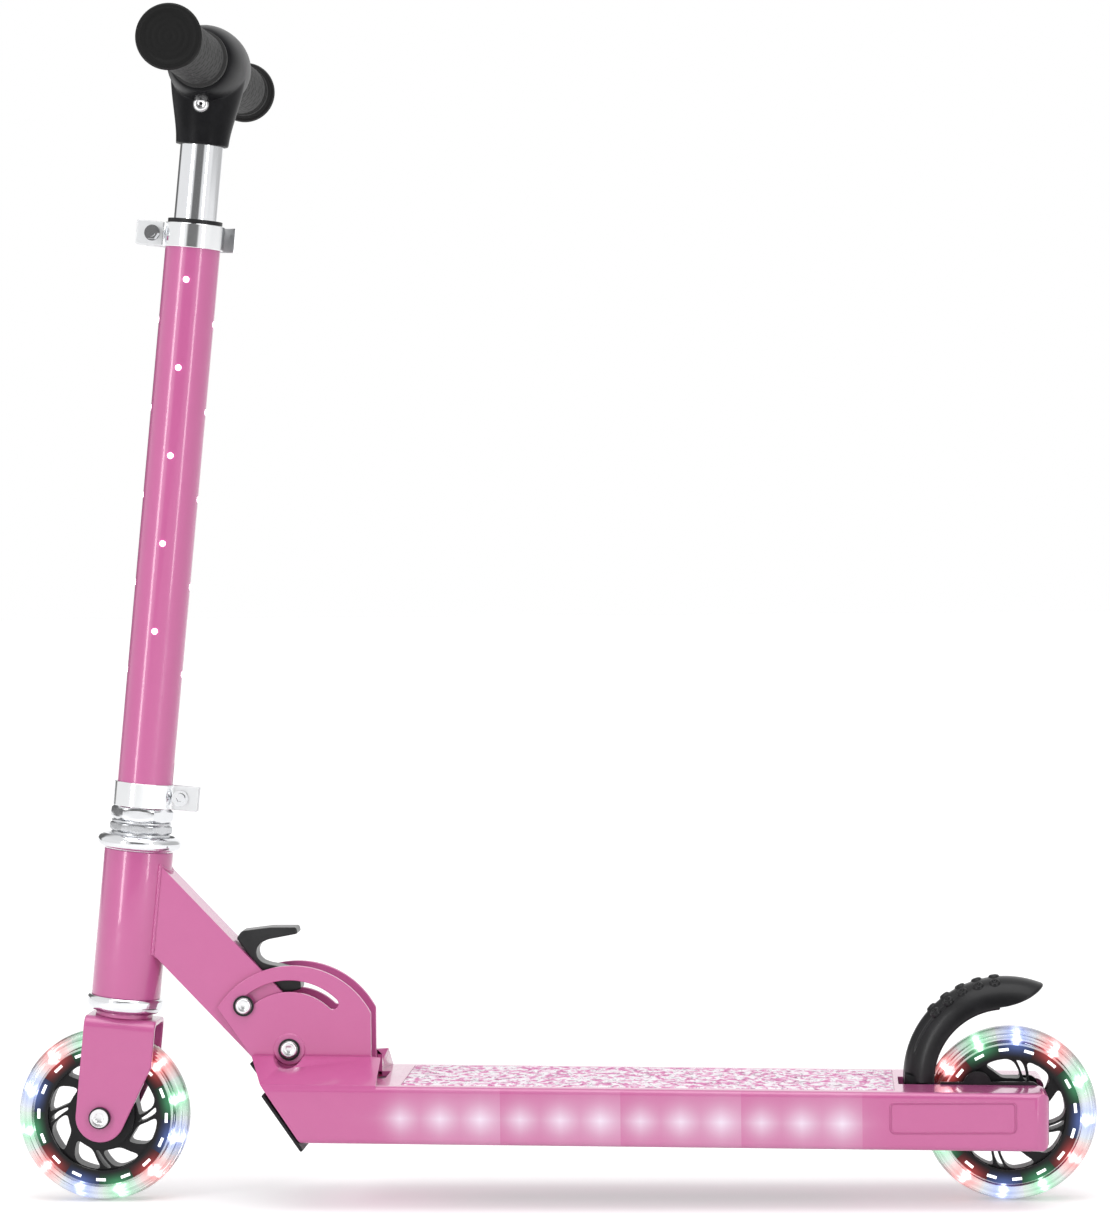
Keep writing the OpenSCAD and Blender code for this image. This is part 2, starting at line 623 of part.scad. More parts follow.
// All that lies over the curve that ends the channel in a pointed lip
module lip_side() {
    x0 = -4;
    z0 = sqrt(fender_side_r * fender_side_r - x0 * x0) - 0.05;
    z1 = sqrt(fender_r * fender_r - fender_reach * fender_reach) + 0.6;
    polygon(concat([[-2 * fender_r, -fender_r], [-2 * fender_r, 2 * fender_r], [fender_r, 2 * fender_r]],
        bez([fender_reach + 0.4, z1], [fender_reach - 7, z1 - 7.5], [x0 + 10, z0 + 1.3], [x0, z0], 8),
        [[x0, -fender_r]]));
}
// Ribs under the channel that rub on the tread when the fender is pressed
module rub_ribs() for (y = [-5, 0, 5]) translate([0, 0, y - rib_t / 2]) linear_extrude(rib_t) difference() {
    circle(fender_r - 1.5, $fn = 128);
    translate([wheelbase / 2 - fender_cx, wheel_r - fender_cz]) circle(wheel_r + rib_room, $fn = 128);
    translate([12, -fender_r]) square(3 * fender_r);
    translate([-2 * fender_r, -2 * fender_r]) square([4 * fender_r, 2 * fender_r + 8]);
}
// A crease down each shoulder of the channel
module creases() for (side = [-1, 1]) rotate(122) rotate_extrude(angle = 41, $fn = 128)
    translate([fender_side_r, 0]) rotate(side * crease_at)
        polygon([[fender_half - 0.6, 0], [fender_half + 0.5, 0.9], [fender_half + 0.5, -0.9]]);
module studs() for (i = [0 : stud_rows - 1], tilt = [-stud_tilt, 0, stud_tilt])
    rotate(stud_row0 - i * stud_step) translate([fender_side_r, 0, 0]) rotate([0, 90 - tilt, 0])
        translate([0, 0, fender_half - 1]) difference() {
            cylinder(r = stud_r, h = stud_h + 1, $fn = 24);
            translate([0, 0, stud_h - 0.5]) cylinder(r = stud_r / 2, h = 2, $fn = 24);
        }
module fender() color(black) difference() {
    union() {
        at_fender() difference() {
            union() {
                intersection() {
                    channel();
                    linear_extrude(2 * fender_w, center = true) lip_side();
                }
                rub_ribs();
                studs();
            }
            creases();
        }
        // Solid foot between the brackets, down to the pin
        translate([fender_cx - fender_side_r, 0, fender_pin_z]) linear_extrude(15) intersection() {
            circle(fender_half - 1.1);
            translate([-fender_half, -fender_foot_half]) square([foot_depth, 2 * fender_foot_half]);
        }
        at_fender_pin() rod(fender_boss_r, -fender_foot_half, fender_foot_half);
    }
    at_fender_pin() {
        rod(fender_pin_r + fit, -60, 60);
        // Room for the return spring round the pin
        rod(7, -4, 4);
    }
    at_rear_axle() cylinder(r = wheel_r + 1.6, h = tyre_w + 1, center = true, $fn = 96);
}
module fender_spring() color(steel) at_fender_pin() {
    turns = 3;
    r = fender_pin_r + 2;
    pts = concat([[r, -3.2, -7]],
        [for (i = [0 : turns * 16]) let (a = i * 22.5) [r * cos(a), -3 + 6 * i / (turns * 16), r * sin(a)]],
        [[r, 3.2, -7]]);
    wire(pts, 0.6);
}

// ---- fold hinge and lock ----
// A bolt along Y with a washer and a round head on the near side
module side_bolt(r, head_y, end_y, ring) color(chrome) difference() {
    union() {
        rod(r, -head_y, end_y);
        rod(ring, -head_y - bolt_washer, -head_y);
        rod(ring - 1.6, -head_y - bolt_washer - bolt_head, -head_y - bolt_washer);
    }
    translate([0, -head_y - bolt_washer - bolt_head / 2, 0]) rotate([90, 0, 0])
        cylinder(r = bolt_key_r, h = bolt_head, $fn = 6);
}
module side_nut(r, y, ring) color(chrome) difference() {
    union() {
        rod(ring, y, y + bolt_washer);
        rod(ring - 1.4, y + bolt_washer, y + bolt_washer + side_nut_h, 6);
    }
    rod(r, y - 1, y + bolt_washer + side_nut_h + 1);
}
module hinge_bolt() at_hinge() side_bolt(pivot_r, plate_out + 0.8, plate_out + 6, pivot_r + 3.3);
module hinge_nut() at_hinge() side_nut(pivot_r, plate_out + 0.8, pivot_r + 3.3);
module at_lock() at_hinge() translate([lock_r * cos(lock_angle), 0, lock_r * sin(lock_angle)]) children();
module lock_bolt() at_lock() side_bolt(pivot_r, plate_out + gap, plate_out + 5.5, pivot_r + 3);
module lock_nut() at_lock() side_nut(pivot_r, plate_out + gap, pivot_r + 3);

module neck_frame() color(pink) difference() {
    union() {
        on_axis(head_s) cylinder(r = head_od / 2, h = head_len);
        difference() {
            in_neck() {
                translate([-neck_reach, -neck_half, -neck_half]) cube([neck_reach, neck_w, neck_w]);
                rod(neck_half, -neck_half, neck_half);
            }
            // The far end of the box stops at the head tube's wall
            on_axis() translate([-100, -50, -50]) cube([100, 100, 400]);
        }
    }
    on_axis(head_s - 1) cylinder(r = head_od / 2 - head_wall, h = head_len + 2);
    in_neck() {
        inner = neck_half - neck_wall;
        // Hollow of the box, open at the foot so that the two sides form a fork
        difference() {
            translate([-neck_reach + 10, -inner, -inner]) cube([neck_reach + 60, 2 * inner, 2 * inner]);
            on_axis_in_neck() cylinder(r = head_od / 2, h = 400);
        }
        // The roof is open where the release lever lies
        translate([-47, -lever_w / 2 - 1, 0]) cube([120, lever_w + 2, 60]);
        rod(neck_half + 1, -inner, inner);
    }
    at_hinge() rod(pivot_r + fit, -60, 60);
    at_lock() rod(pivot_r, -60, 60);
    at_lever() rod(lever_pin_r, -lever_pin_half, lever_pin_half);
}
// The steering axis as it lies in the neck's own frame
module on_axis_in_neck() rotate([0, -neck_slope, 0]) translate([axis_x - hinge_x, 0, axis_z - hinge_z])
    rotate([0, lean, 0]) children();

module at_lever() in_neck() translate([lever_x, 0, lever_z]) children();
module lever_pin() color(steel) at_lever()
    rod(lever_pin_r - 0.01, 0.05 - lever_pin_half, lever_pin_half - 0.05);
// Side view of the release lever, in the neck's frame: a hook with a finger gap
module lever_outline() difference() {
    h = neck_half;
    union() {
        polygon([[-67.2, h + 0.4], [-68.3, h + 3], [-67.6, h + 6], [-61.4, h + 13.6], [-48.4, h + 32.4],
            [-46.8, h + 32.4], [-44.9, h + 30.4], [-50, h + 20.2], [-46, h + 14], [-38, h + 9],
            [-31, h + 12.4], [-24.4, h + 15.2], [-21, h + 14], [-19.4, h + 11], [-29, h - 2], [-34, h - 8],
            [-40, h - 6], [-46.4, h + 0.4]]);
        translate([lever_x, lever_z]) circle(lever_pin_r + 3, $fn = 32);
    }
    // Round root of the finger gap
    translate([-48.3, h + 10.6]) {
        rotate(neck_slope) polygon(concat(arc(0, 0, 8, 56, 270, 24), [[40, -8], [40, 8 * sin(56)]]));
    }
}
module release_lever() color(black) difference() {
    in_neck() across(lever_w) lever_outline();
    at_lever() rod(lever_pin_r + fit, -60, 60);
    // Slot for the return spring
    at_lever() rod(5.2, -4, 4);
}
module lever_spring() color(steel) at_lever() {
    turns = 3;
    r = lever_pin_r + 1.3;
    wire([for (i = [0 : turns * 16]) let (a = i * 22.5)
        [r * cos(a), -3.2 + 6.4 * i / (turns * 16), r * sin(a)]], 0.5);
}

// ---- headset and fork ----
module lower_cup() color(chrome) on_axis() rotate_extrude() {
    b = lower_cup_s;
    polygon([[head_od / 2 - head_wall - cup_wall, head_s + 8], [head_od / 2 - head_wall, head_s + 8],
        [head_od / 2 - head_wall, head_s], [lower_cup_r - 1.5, head_s], [lower_cup_r, head_s - 1.5],
        [lower_cup_r, b + 3], [lower_cup_r - 1.2, b + 1], [lower_cup_r - 2.6, b], [pocket_r + 0.05, b],
        [pocket_r + 0.05, head_s - 1], [head_od / 2 - head_wall - cup_wall, head_s - 1]]);
}
module upper_cup() color(chrome) on_axis() rotate_extrude() {
    t = head_top_s;
    polygon([[head_od / 2 - head_wall - cup_wall, t - 8], [head_od / 2 - head_wall, t - 8],
        [head_od / 2 - head_wall, t], [upper_cup_r - 3, t], [upper_cup_r - 0.8, t + 1.6],
        [upper_cup_r, t + upper_cup_h / 2], [upper_cup_r - 0.8, t + upper_cup_h - 1.6],
        [upper_cup_r - 3, t + upper_cup_h], [pocket_r + 0.05, t + upper_cup_h - 1.4],
        [pocket_r + 0.05, t + 1], [head_od / 2 - head_wall - cup_wall, t + 1]]);
}
module headset_bearings() color(steel) {
    for (s = [head_s - 1 - bearing_h, head_top_s + 1]) on_axis(s) tube(pocket_r, steerer_r + fit, bearing_h);
}
module crown_race() color(chrome) on_axis(crown_s) rotate_extrude()
    polygon([[steerer_r, 0], [steerer_r + 2.6, 0], [steerer_r + 2.6, race_h - 1], [steerer_r + 1.6, race_h],
        [steerer_r, race_h]]);
module hex_nut(r, h) intersection() {
    cylinder(r = r, h = h, $fn = 6);
    union() {
        cylinder(r1 = r * 0.9, r2 = r * 1.12, h = h / 2, $fn = 48);
        translate([0, 0, h / 2]) cylinder(r1 = r * 1.12, r2 = r * 0.9, h = h / 2, $fn = 48);
    }
}
module adjusting_race() color(steel) on_axis(adjust_s) difference() {
    union() {
        cylinder(r = steerer_r + 3, h = 2.4);
        translate([0, 0, 2.2]) hex_nut(nut_r, adjust_h - 2.2);
    }
    translate([0, 0, -1]) cylinder(r = steerer_r, h = adjust_h + 2);
}
module lock_washer() color(steel) on_axis(washer_s) tube(nut_r - 1, steerer_r, washer_h);
module locknut() color(chrome) on_axis(locknut_s) difference() {
    hex_nut(nut_r, nut_h);
    translate([0, 0, -1]) cylinder(r = steerer_r, h = nut_h + 2);
}
// Side view of a fork plate: a round end about the axle, its back edge tangent to it
module fork_outline() {
    d = norm([fork_back + rake, fork_waist]);
    a = atan2(fork_waist, fork_back + rake) - acos(fork_leg_r / d);
    polygon(concat([[fork_front, crown_s], [fork_back, crown_s], [fork_back, fork_waist]],
        arc(-rake, 0, fork_leg_r, a, -180, 28)));
}
module fork() color(pink) on_axis() difference() {
    union() {
        intersection() {
            across(fork_w) fork_outline();
            // Bent from one plate, with rounded shoulders
            rotate([90, 0, 90]) linear_extrude(200, center = true) difference() {
                translate([0, crown_s - 100]) round_box(fork_w, 200, 6);
                translate([0, crown_s - fork_t - 100]) round_box(fork_w - 2 * fork_t, 200, 3);
            }
        }
        translate([0, 0, crown_s - fork_t]) cylinder(r = steerer_r, h = steerer_len + fork_t);
    }
    translate([0, 0, crown_s - fork_t - 1])
        cylinder(r = steerer_r - steerer_wall, h = steerer_len + fork_t + 2);
    translate([-rake, 0, 0]) rod(axle_r, -60, 60);
}
module front_axle() at_front_axle() axle_bolt(fork_w);
module front_axle_nut() at_front_axle() axle_nut(fork_w);
module front_spacers() at_front_axle() axle_spacers(fork_w - 2 * fork_t);

// ---- stem ----
// Places of the lights: rows 0 and 2 on the sides, rows 1 and 3 at the front and the back
module stem_led_places() for (row = [0 : 3], k = [0 : stem_led_count - 1])
    rotate(-90 - 90 * row) translate([0, 0, led_top_s - (row % 2) * row_offset - k * stem_led_pitch])
        rotate([0, 90, 0]) children();
module stem_tube() color(pink) on_axis() difference() {
    translate([0, 0, stem_s]) cylinder(r = stem_r, h = stem_len, $fn = 96);
    translate([0, 0, stem_s - 1]) cylinder(r = stem_in, h = stem_len + 2, $fn = 96);
    stem_led_places() cylinder(r = stem_led_r + 0.05, h = 40, $fn = 24);
    // Slits that let the clamps close the tube
    translate([0, -0.9, stem_s - 1]) cube([40, 1.8, clamp_h + 14]);
    translate([-40, -0.9, stem_top_s - clamp_h - 8]) cube([40, 1.8, clamp_h + 20]);
}
module stem_leds() color(lamp) on_axis() stem_led_places() translate([0, 0, stem_in])
    cylinder(r = stem_led_r, h = stem_wall + 0.4, $fn = 24);
module stem_light_strips() color("#3a3a3c") on_axis() for (row = [0 : 3])
    rotate(-90 - 90 * row) intersection() {
    strip_len = led_top_s + strip_end - strip_foot_s;
    difference() {
        translate([0, 0, strip_foot_s]) cylinder(r = stem_in, h = strip_len, $fn = 96);
        translate([0, 0, strip_foot_s - 1]) cylinder(r = stem_in - strip_t, h = strip_len + 2, $fn = 96);
    }
    translate([0, -strip_w / 2, strip_foot_s]) cube([stem_od, strip_w, strip_len]);
}
// A clamp band with two ears; the ears reach out to ear_x and carry a bolt at bolt_x
module clamp_band(ear_x, bolt_x, hole) difference() {
    union() {
        cylinder(r = clamp_r, h = clamp_h, $fn = 96);
        for (y = [-1, 1]) translate([0, y * (ear_in + ear_t / 2) - ear_t / 2, 0])
            cube([ear_x, ear_t, clamp_h]);
    }
    translate([0, 0, -1]) cylinder(r = stem_r + fit, h = clamp_h + 2, $fn = 96);
    translate([0, -ear_in, -1]) cube([ear_x + 1, 2 * ear_in, clamp_h + 2]);
    translate([bolt_x, 0, clamp_h / 2]) rod(hole, -60, 60);
}
module lower_clamp() color(chrome) on_axis(stem_s) clamp_band(clamp_r + lower_ear, lower_bolt_x, 2.55);
module lower_clamp_bolt() on_axis(stem_s + clamp_h / 2) translate([lower_bolt_x, 0, 0]) {
    side_bolt(2.5, ear_out, ear_out + 1, 4.6);
    side_nut(2.5, ear_out, 4.4);
}
module upper_clamp() color(chrome) on_axis(upper_clamp_s) mirror([1, 0, 0])
    clamp_band(-skewer_x + 9.4, -skewer_x, skewer_r + 0.05);
module at_skewer() on_axis(upper_clamp_s + clamp_h / 2) translate([skewer_x, 0, 0]) children();
module clamp_skewer() color(chrome) at_skewer() {
    difference() {
        union() {
            rod(skewer_r, -ear_out - 6, cam_y);
            rod(4.6, -ear_out - 1, -ear_out);
            rod(4, -ear_out - 5, -ear_out - 1, 6);
            translate([0, cam_y, 0]) cylinder(r = 3.4, h = 6, center = true, $fn = 48);
        }
        translate([0, cam_y, 0]) cylinder(r = 1.5 + fit, h = 20, center = true, $fn = 32);
    }
}
module cam_lever() color(steel) at_skewer() {
    translate([0, cam_y, 0]) cylinder(r = 1.5, h = clamp_h - 1, center = true, $fn = 32);
    difference() {
        union() {
            translate([0, cam_y, 0]) cylinder(r = cam_r, h = clamp_h, center = true, $fn = 48);
            // The arm follows the tube round to its rear
            translate([-skewer_x, 0, -clamp_h / 2]) rotate(26) {
                rotate_extrude(angle = 128, $fn = 96) translate([cam_lever_r, 0]) square([2.4, clamp_h]);
                translate([cam_lever_r, -8, 0]) cube([2.4, 8, clamp_h]);
            }
        }
        translate([0, cam_y, 0]) cube([14, 9.6, 6.6], center = true);
        translate([0, cam_y - 6, 0]) cube([2 * skewer_r + 1, 12, 6.6], center = true);
    }
}
module stem_bushing() color(black) on_axis(stem_top_s) difference() {
    union() {
        cylinder(r = stem_r - 0.2, h = bush_lip);
        translate([0, 0, -bush_len]) cylinder(r = stem_in - 0.02, h = bush_len + 0.1);
    }
    translate([0, 0, -bush_len - 1]) cylinder(r = post_r + fit, h = bush_len + bush_lip + 2);
}

// ---- handlebar ----
module post() color(chrome) on_axis() difference() {
    translate([0, 0, post_s]) cylinder(r = post_r, h = bar_s - post_s);
    translate([0, 0, post_s - 1]) cylinder(r = post_r - post_wall, h = bar_s - post_s + 2);
    translate([0, 0, bar_s]) rod(bar_r, -60, 60);
    translate([0, 0, bolt_s]) rod(2.5, -60, 60);
}
module cross_bar() color(chrome) on_axis(bar_s) difference() {
    rod(bar_r, -bar_half, bar_half);
    rod(bar_r - 1.5, -bar_half - 1, bar_half + 1);
}
module t_cover() color(black) on_axis() difference() {
    union() {
        translate([0, 0, bar_s]) rod(barrel_r, -barrel_len / 2, barrel_len / 2, 96);
        rotate_extrude($fn = 96) polygon(concat([[0, collar_s], [collar_r, collar_s]],
            bez([collar_r, collar_s + 4], [collar_r + 1, collar_s + 14], [barrel_r - 2, collar_s + 26],
                [barrel_r - 0.4, bar_s], 10), [[0, bar_s]]));
    }
    translate([0, 0, bar_s]) rod(bar_r, -barrel_len, barrel_len);
    translate([0, 0, collar_s - 1]) cylinder(r = post_r, h = bar_s - collar_s + 1);
    translate([0, 0, bolt_s]) rod(2.5, -60, 60);
    // Counterbores for the bolt's head and nut, and for the ends of the grips
    translate([0, 0, bolt_s]) both() rod(4.6, -60, -post_r - 3.4);
    translate([0, 0, bar_s]) both() rod(barrel_r - 3, -barrel_len, -barrel_len / 2 + 3);
}
module t_bolt() color(chrome) on_axis(bolt_s) difference() {
    union() {
        rod(2.5, -post_r - 3.4, post_r + 3.4);
        rod(4.3, -post_r - 6, -post_r - 3.4);
        rod(4.3, post_r + 3.4, post_r + 6, 6);
    }
    for (a = [0, 90]) rotate([0, a, 0]) translate([0, -post_r - 5.6, 0]) cube([5, 1.6, 1], center = true);
}
module grip(side) color(black) on_axis(bar_s) mirror([0, side, 0]) rotate([90, 0, 0])
    rotate_extrude($fn = 72) {
    g = grip_d / 2;
    y0 = grip_s - 3;
    y1 = bar_w / 2;
    rings = [for (i = [0 : 2]) let (y = y1 - 16 - 4 * i)
        each [[g, y + 1.2], [g - 1, y + 0.6], [g - 1, y - 0.6], [g, y - 1.2]]];
    polygon(concat([[0, y1 - 1], [g - 2, y1 - 1], [flange_d / 2 - 3, y1], [flange_d / 2 - 1, y1 - 0.6],
        [flange_d / 2, y1 - 2.5], [flange_d / 2 - 0.6, y1 - 5.2], [flange_d / 2 - 2, y1 - 6.4],
        [g + 1, y1 - 7.4],
        [g, y1 - 9]], rings, [[g, y0 + 12], [g + 1.5, y0 + 10], [g + 1.5, y0 + 5], [g + 0.4, y0 + 4],
        [g + 0.4, y0], [bar_r + 0.02, y0], [bar_r + 0.02, bar_half], [0, bar_half]]));
}

deck_shell();
deck_spine();
hinge_plate(0);  // hinge_plate_left
hinge_plate(1);  // hinge_plate_right
front_cap();
underside_cover();
cover_screws();
grip_mat();
deck_lights();
battery_box();
rear_bracket(0);  // rear_bracket_left
rear_bracket(1);  // rear_bracket_right
at_rear_axle() axle_bolt(2 * bracket_out);  // rear_axle
at_rear_axle() axle_nut(2 * bracket_out);  // rear_axle_nut
at_rear_axle() axle_spacers(bracket_room);  // rear_spacers
fender_pin();
hinge_bolt();
hinge_nut();
fender();
fender_spring();
neck_frame();
lock_bolt();
lock_nut();
lever_pin();
lower_cup();
upper_cup();
headset_bearings();
release_lever();
lever_spring();
fork();
crown_race();
adjusting_race();
lock_washer();
locknut();
front_axle();
front_axle_nut();
front_spacers();
stem_tube();
stem_leds();
stem_light_strips();
lower_clamp();
lower_clamp_bolt();
upper_clamp();
clamp_skewer();
stem_bushing();
cam_lever();
post();
cross_bar();
t_cover();
t_bolt();
grip(0);  // grip_left
grip(1);  // grip_right
at_front_axle() rotate(front_phase) tyre();  // front_tyre
at_front_axle() rotate(front_core_phase) core();  // front_core
at_front_axle() light_set(front_phase, front_core_phase);  // front_leds
at_front_axle() bearings();  // front_bearings
at_rear_axle() rotate(rear_phase) tyre();  // rear_tyre
at_rear_axle() rotate(rear_core_phase) core();  // rear_core
at_rear_axle() light_set(rear_phase, rear_core_phase);  // rear_leds
at_rear_axle() bearings();  // rear_bearings
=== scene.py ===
# Folding kick scooter: surfaces, finishes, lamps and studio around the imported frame.
import json
import math

import bmesh
import bpy
import numpy as np
from mathutils import Matrix, Vector


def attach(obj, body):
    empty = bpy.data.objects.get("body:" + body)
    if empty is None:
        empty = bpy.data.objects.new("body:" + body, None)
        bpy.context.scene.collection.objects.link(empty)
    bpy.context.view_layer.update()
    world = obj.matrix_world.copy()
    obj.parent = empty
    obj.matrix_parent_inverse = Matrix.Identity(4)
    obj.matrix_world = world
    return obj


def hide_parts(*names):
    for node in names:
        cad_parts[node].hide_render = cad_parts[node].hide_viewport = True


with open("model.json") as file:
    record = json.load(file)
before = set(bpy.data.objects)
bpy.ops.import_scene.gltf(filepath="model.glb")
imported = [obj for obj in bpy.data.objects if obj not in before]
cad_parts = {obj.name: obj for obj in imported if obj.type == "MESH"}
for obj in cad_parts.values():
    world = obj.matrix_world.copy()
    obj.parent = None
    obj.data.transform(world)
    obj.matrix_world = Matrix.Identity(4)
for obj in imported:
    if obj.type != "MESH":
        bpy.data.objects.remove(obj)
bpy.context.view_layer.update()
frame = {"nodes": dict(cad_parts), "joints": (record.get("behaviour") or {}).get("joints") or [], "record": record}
cadNodes = frame["nodes"]
mm = 0.001
print("frame:", len(cadNodes), "nodes")

joints = {j["name"]: j for j in frame["joints"]}
bodyOf = {n: b for b, names in frame["record"]["behaviour"]["bodies"].items() for n in names}
slotOf = {s["node"]: s["material_slot"] for s in frame["record"]["subparts"]}


def jointPlace(name):
    return np.array(joints[name]["pos_m"], float)


def linked(name, data):
    obj = bpy.data.objects.new(name, data)
    bpy.context.scene.collection.objects.link(obj)
    return obj


frontHub = jointPlace("front_wheel_spin")
rearHub = jointPlace("rear_wheel_spin")
foldPin = jointPlace("fold")
steerAxis = np.array(joints["steer"]["axis"], float)
stemUp = steerAxis / np.linalg.norm(steerAxis) * np.sign(steerAxis[2])
stemFoot = jointPlace("steer") - stemUp * 0.0698  # heights along the stem count from here

camera = {"aim": (0.0029, 0, 0.3405), "distance": 2.594, "yaw": -3.41, "pitch": 1.22, "roll": -0.54, "lens": 132.1}


def placeCamera(c):
    yaw, pitch, roll = (math.radians(c[k]) for k in ("yaw", "pitch", "roll"))
    ahead = Vector((math.sin(yaw) * math.cos(pitch), math.cos(yaw) * math.cos(pitch), -math.sin(pitch)))
    right = Vector((math.cos(yaw), -math.sin(yaw), 0))
    up = right.cross(ahead)
    turnedRight = math.cos(roll) * right + math.sin(roll) * up
    turnedUp = -math.sin(roll) * right + math.cos(roll) * up
    data = bpy.data.cameras.new("camera")
    data.lens, data.sensor_width = c["lens"], 36
    data.clip_start, data.clip_end = 0.05, 60
    obj = linked("camera", data)
    turn = Matrix((turnedRight, turnedUp, -ahead)).transposed().to_4x4()
    obj.matrix_world = Matrix.Translation(Vector(c["aim"]) - c["distance"] * ahead) @ turn
    bpy.context.scene.camera = obj


placeCamera(camera)
print("camera placed")


# Shader wiring: a Wire is one output of a node, and arithmetic on wires makes Math nodes
class Wire:
    def __init__(self, tree, socket):
        self.tree, self.socket = tree, socket

    def __add__(self, other):
        return calc("ADD", self, other)

    def __sub__(self, other):
        return calc("SUBTRACT", self, other)

    def __rsub__(self, other):
        return calc("SUBTRACT", other, self)

    def __mul__(self, other):
        return calc("MULTIPLY", self, other)

    def __truediv__(self, other):
        return calc("DIVIDE", self, other)

    def __abs__(self):
        return calc("ABSOLUTE", self)


def treeOf(values):
    return next(v.tree for v in values if isinstance(v, Wire))


def fill(made, inputs):
    for key, value in inputs.items():
        if isinstance(value, Wire):
            value.tree.links.new(value.socket, made.inputs[key])
        else:
            made.inputs[key].default_value = value


def get(tree, kind, inputs=None, key=0, **settings):
    made = tree.nodes.new("ShaderNode" + kind)
    for name, value in settings.items():
        setattr(made, name, value)
    fill(made, inputs or {})
    return Wire(tree, made.outputs[key])


def calc(operation, *values, clamp=False):
    return get(treeOf(values), "Math", dict(enumerate(values)), operation=operation, use_clamp=clamp)


def scaled(value, factor, shift):
    return calc("MULTIPLY_ADD", value, factor, shift)


def decay(value, rate=1.0):
    return calc("EXPONENT", value * -rate)


def vector(operation, *values, key=0):
    return get(treeOf(values), "VectorMath", dict(enumerate(values)), key, operation=operation)


def outputsOf(wire):
    return {s.name: Wire(wire.tree, s) for s in wire.socket.node.outputs}


def split(wire):
    return outputsOf(get(wire.tree, "SeparateXYZ", {0: wire})).values()


def noise(at, scale, detail, key=0, **more):
    return get(at.tree, "TexNoise", {"Vector": at, "Scale": scale, "Detail": detail, **more}, key)


def between(value, low, high, first=0.0, last=1.0, shape="LINEAR"):
    return get(value.tree, "MapRange", {0: value, 1: low, 2: high, 3: first, 4: last}, interpolation_type=shape)


def rgba(colour):
    return colour if isinstance(colour, Wire) or len(colour) == 4 else (*colour, 1)


def mix(share, first, second, mode="MIX"):
    inputs = {0: share, 6: rgba(first), 7: rgba(second)}
    return get(treeOf(inputs.values()), "Mix", inputs, 2, data_type="RGBA", blend_type=mode)


def ramp(value, *stops):
    made = get(value.tree, "ValToRGB", {0: value})
    elements = made.socket.node.color_ramp.elements
    while len(elements) < len(stops):
        elements.new(0.5)
    for element, (place, colour) in zip(elements, stops):
        element.position, element.color = place, rgba(colour)
    return made


def bumped(height, strength, distance):
    return get(height.tree, "Bump", {"Strength": strength, "Distance": distance, "Height": height})


def join(sockets, **wires):
    for key, wire in wires.items():
        wire.tree.links.new(wire.socket, sockets[key.replace("_", " ")])


def newGroup(name, inputs, outputs):
    group = bpy.data.node_groups.new(name, "ShaderNodeTree")
    for key, value in inputs.items():
        kind = "Float" if isinstance(value, float) else "Vector"
        group.interface.new_socket(key, in_out="INPUT", socket_type="NodeSocket" + kind).default_value = value
    for key in outputs:
        kind = "Color" if key == "Colour" else "Float"
        group.interface.new_socket(key, in_out="OUTPUT", socket_type="NodeSocket" + kind)
    given = {s.name: Wire(group, s) for s in group.nodes.new("NodeGroupInput").outputs if s.name}
    return group, given, group.nodes.new("NodeGroupOutput").inputs


def useGroup(group, **values):
    tree = treeOf(values.values())
    made = tree.nodes.new("ShaderNodeGroup")
    made.node_tree = group
    fill(made, values)
    return {s.name: Wire(tree, s) for s in made.outputs}


def newMaterial(name, colour, rough, metallic=0.0, **constants):
    material = bpy.data.materials.new(name)
    material.use_nodes = True
    sockets = material.node_tree.nodes["Principled BSDF"].inputs
    sockets["Base Color"].default_value = rgba(colour)
    sockets["Roughness"].default_value = rough
    sockets["Metallic"].default_value = metallic
    for key, value in constants.items():
        sockets[key.replace("_", " ")].default_value = value
    return material, sockets, get(material.node_tree, "TexCoord", key="Object")


# Effects that several finishes share
origin, same = (0.0, 0.0, 0.0), (1.0, 1.0, 1.0)


# Orange peel and slow tone drift of a sprayed coat
def makeCoatGroup():
    group, given, result = newGroup("sprayedCoat", {"Vector": origin, "Scale": 1.0}, ("Height", "Tone"))
    at, scale = given["Vector"], given["Scale"]
    slow = noise(at, scale * 14.0, 3.0, Roughness=0.6)
    mist = get(group, "TexWhiteNoise", {"Vector": at}, noise_dimensions="3D")
    join(result, Height=noise(at, scale * 700.0, 3.0), Tone=scaled(mist, 0.34, slow * 0.66))
    return group


# Fine random lines along one direction, with smudges
def makeBrushedGroup():
    group, given, result = newGroup("brushedMetal", {"Vector": origin, "Stretch": same}, ("Height", "Smudge"))
    drawn = vector("MULTIPLY", given["Vector"], given["Stretch"])
    join(result, Height=noise(drawn, 900.0, 4.0, Roughness=0.7),
         Smudge=noise(given["Vector"], 45.0, 4.0, Roughness=0.65))
    return group


# Spark-eroded grain of a moulding, with scuffs
def makeGrainGroup():
    group, given, result = newGroup("mouldedGrain", {"Vector": origin, "Scale": 1.0}, ("Height", "Scuff"))
    at, scale = given["Vector"], given["Scale"]
    cells = get(group, "TexVoronoi", {"Vector": at, "Scale": scale * 1500.0}, "Distance")
    join(result, Height=cells + noise(at, scale * 900.0, 3.0), Scuff=noise(at, scale * 60.0, 5.0, Roughness=0.7))
    return group


lampLight = {"pitch": math.radians(30), "spotFall": 1.7, "coreSize": 2.9, "coreFall": 2.4, "rayThin": 11.0,
             "rayFall": 2.6, "colours": ((0.10, 0.55, 0.24), (0.85, 0.10, 0.10), (0.16, 0.26, 0.72))}


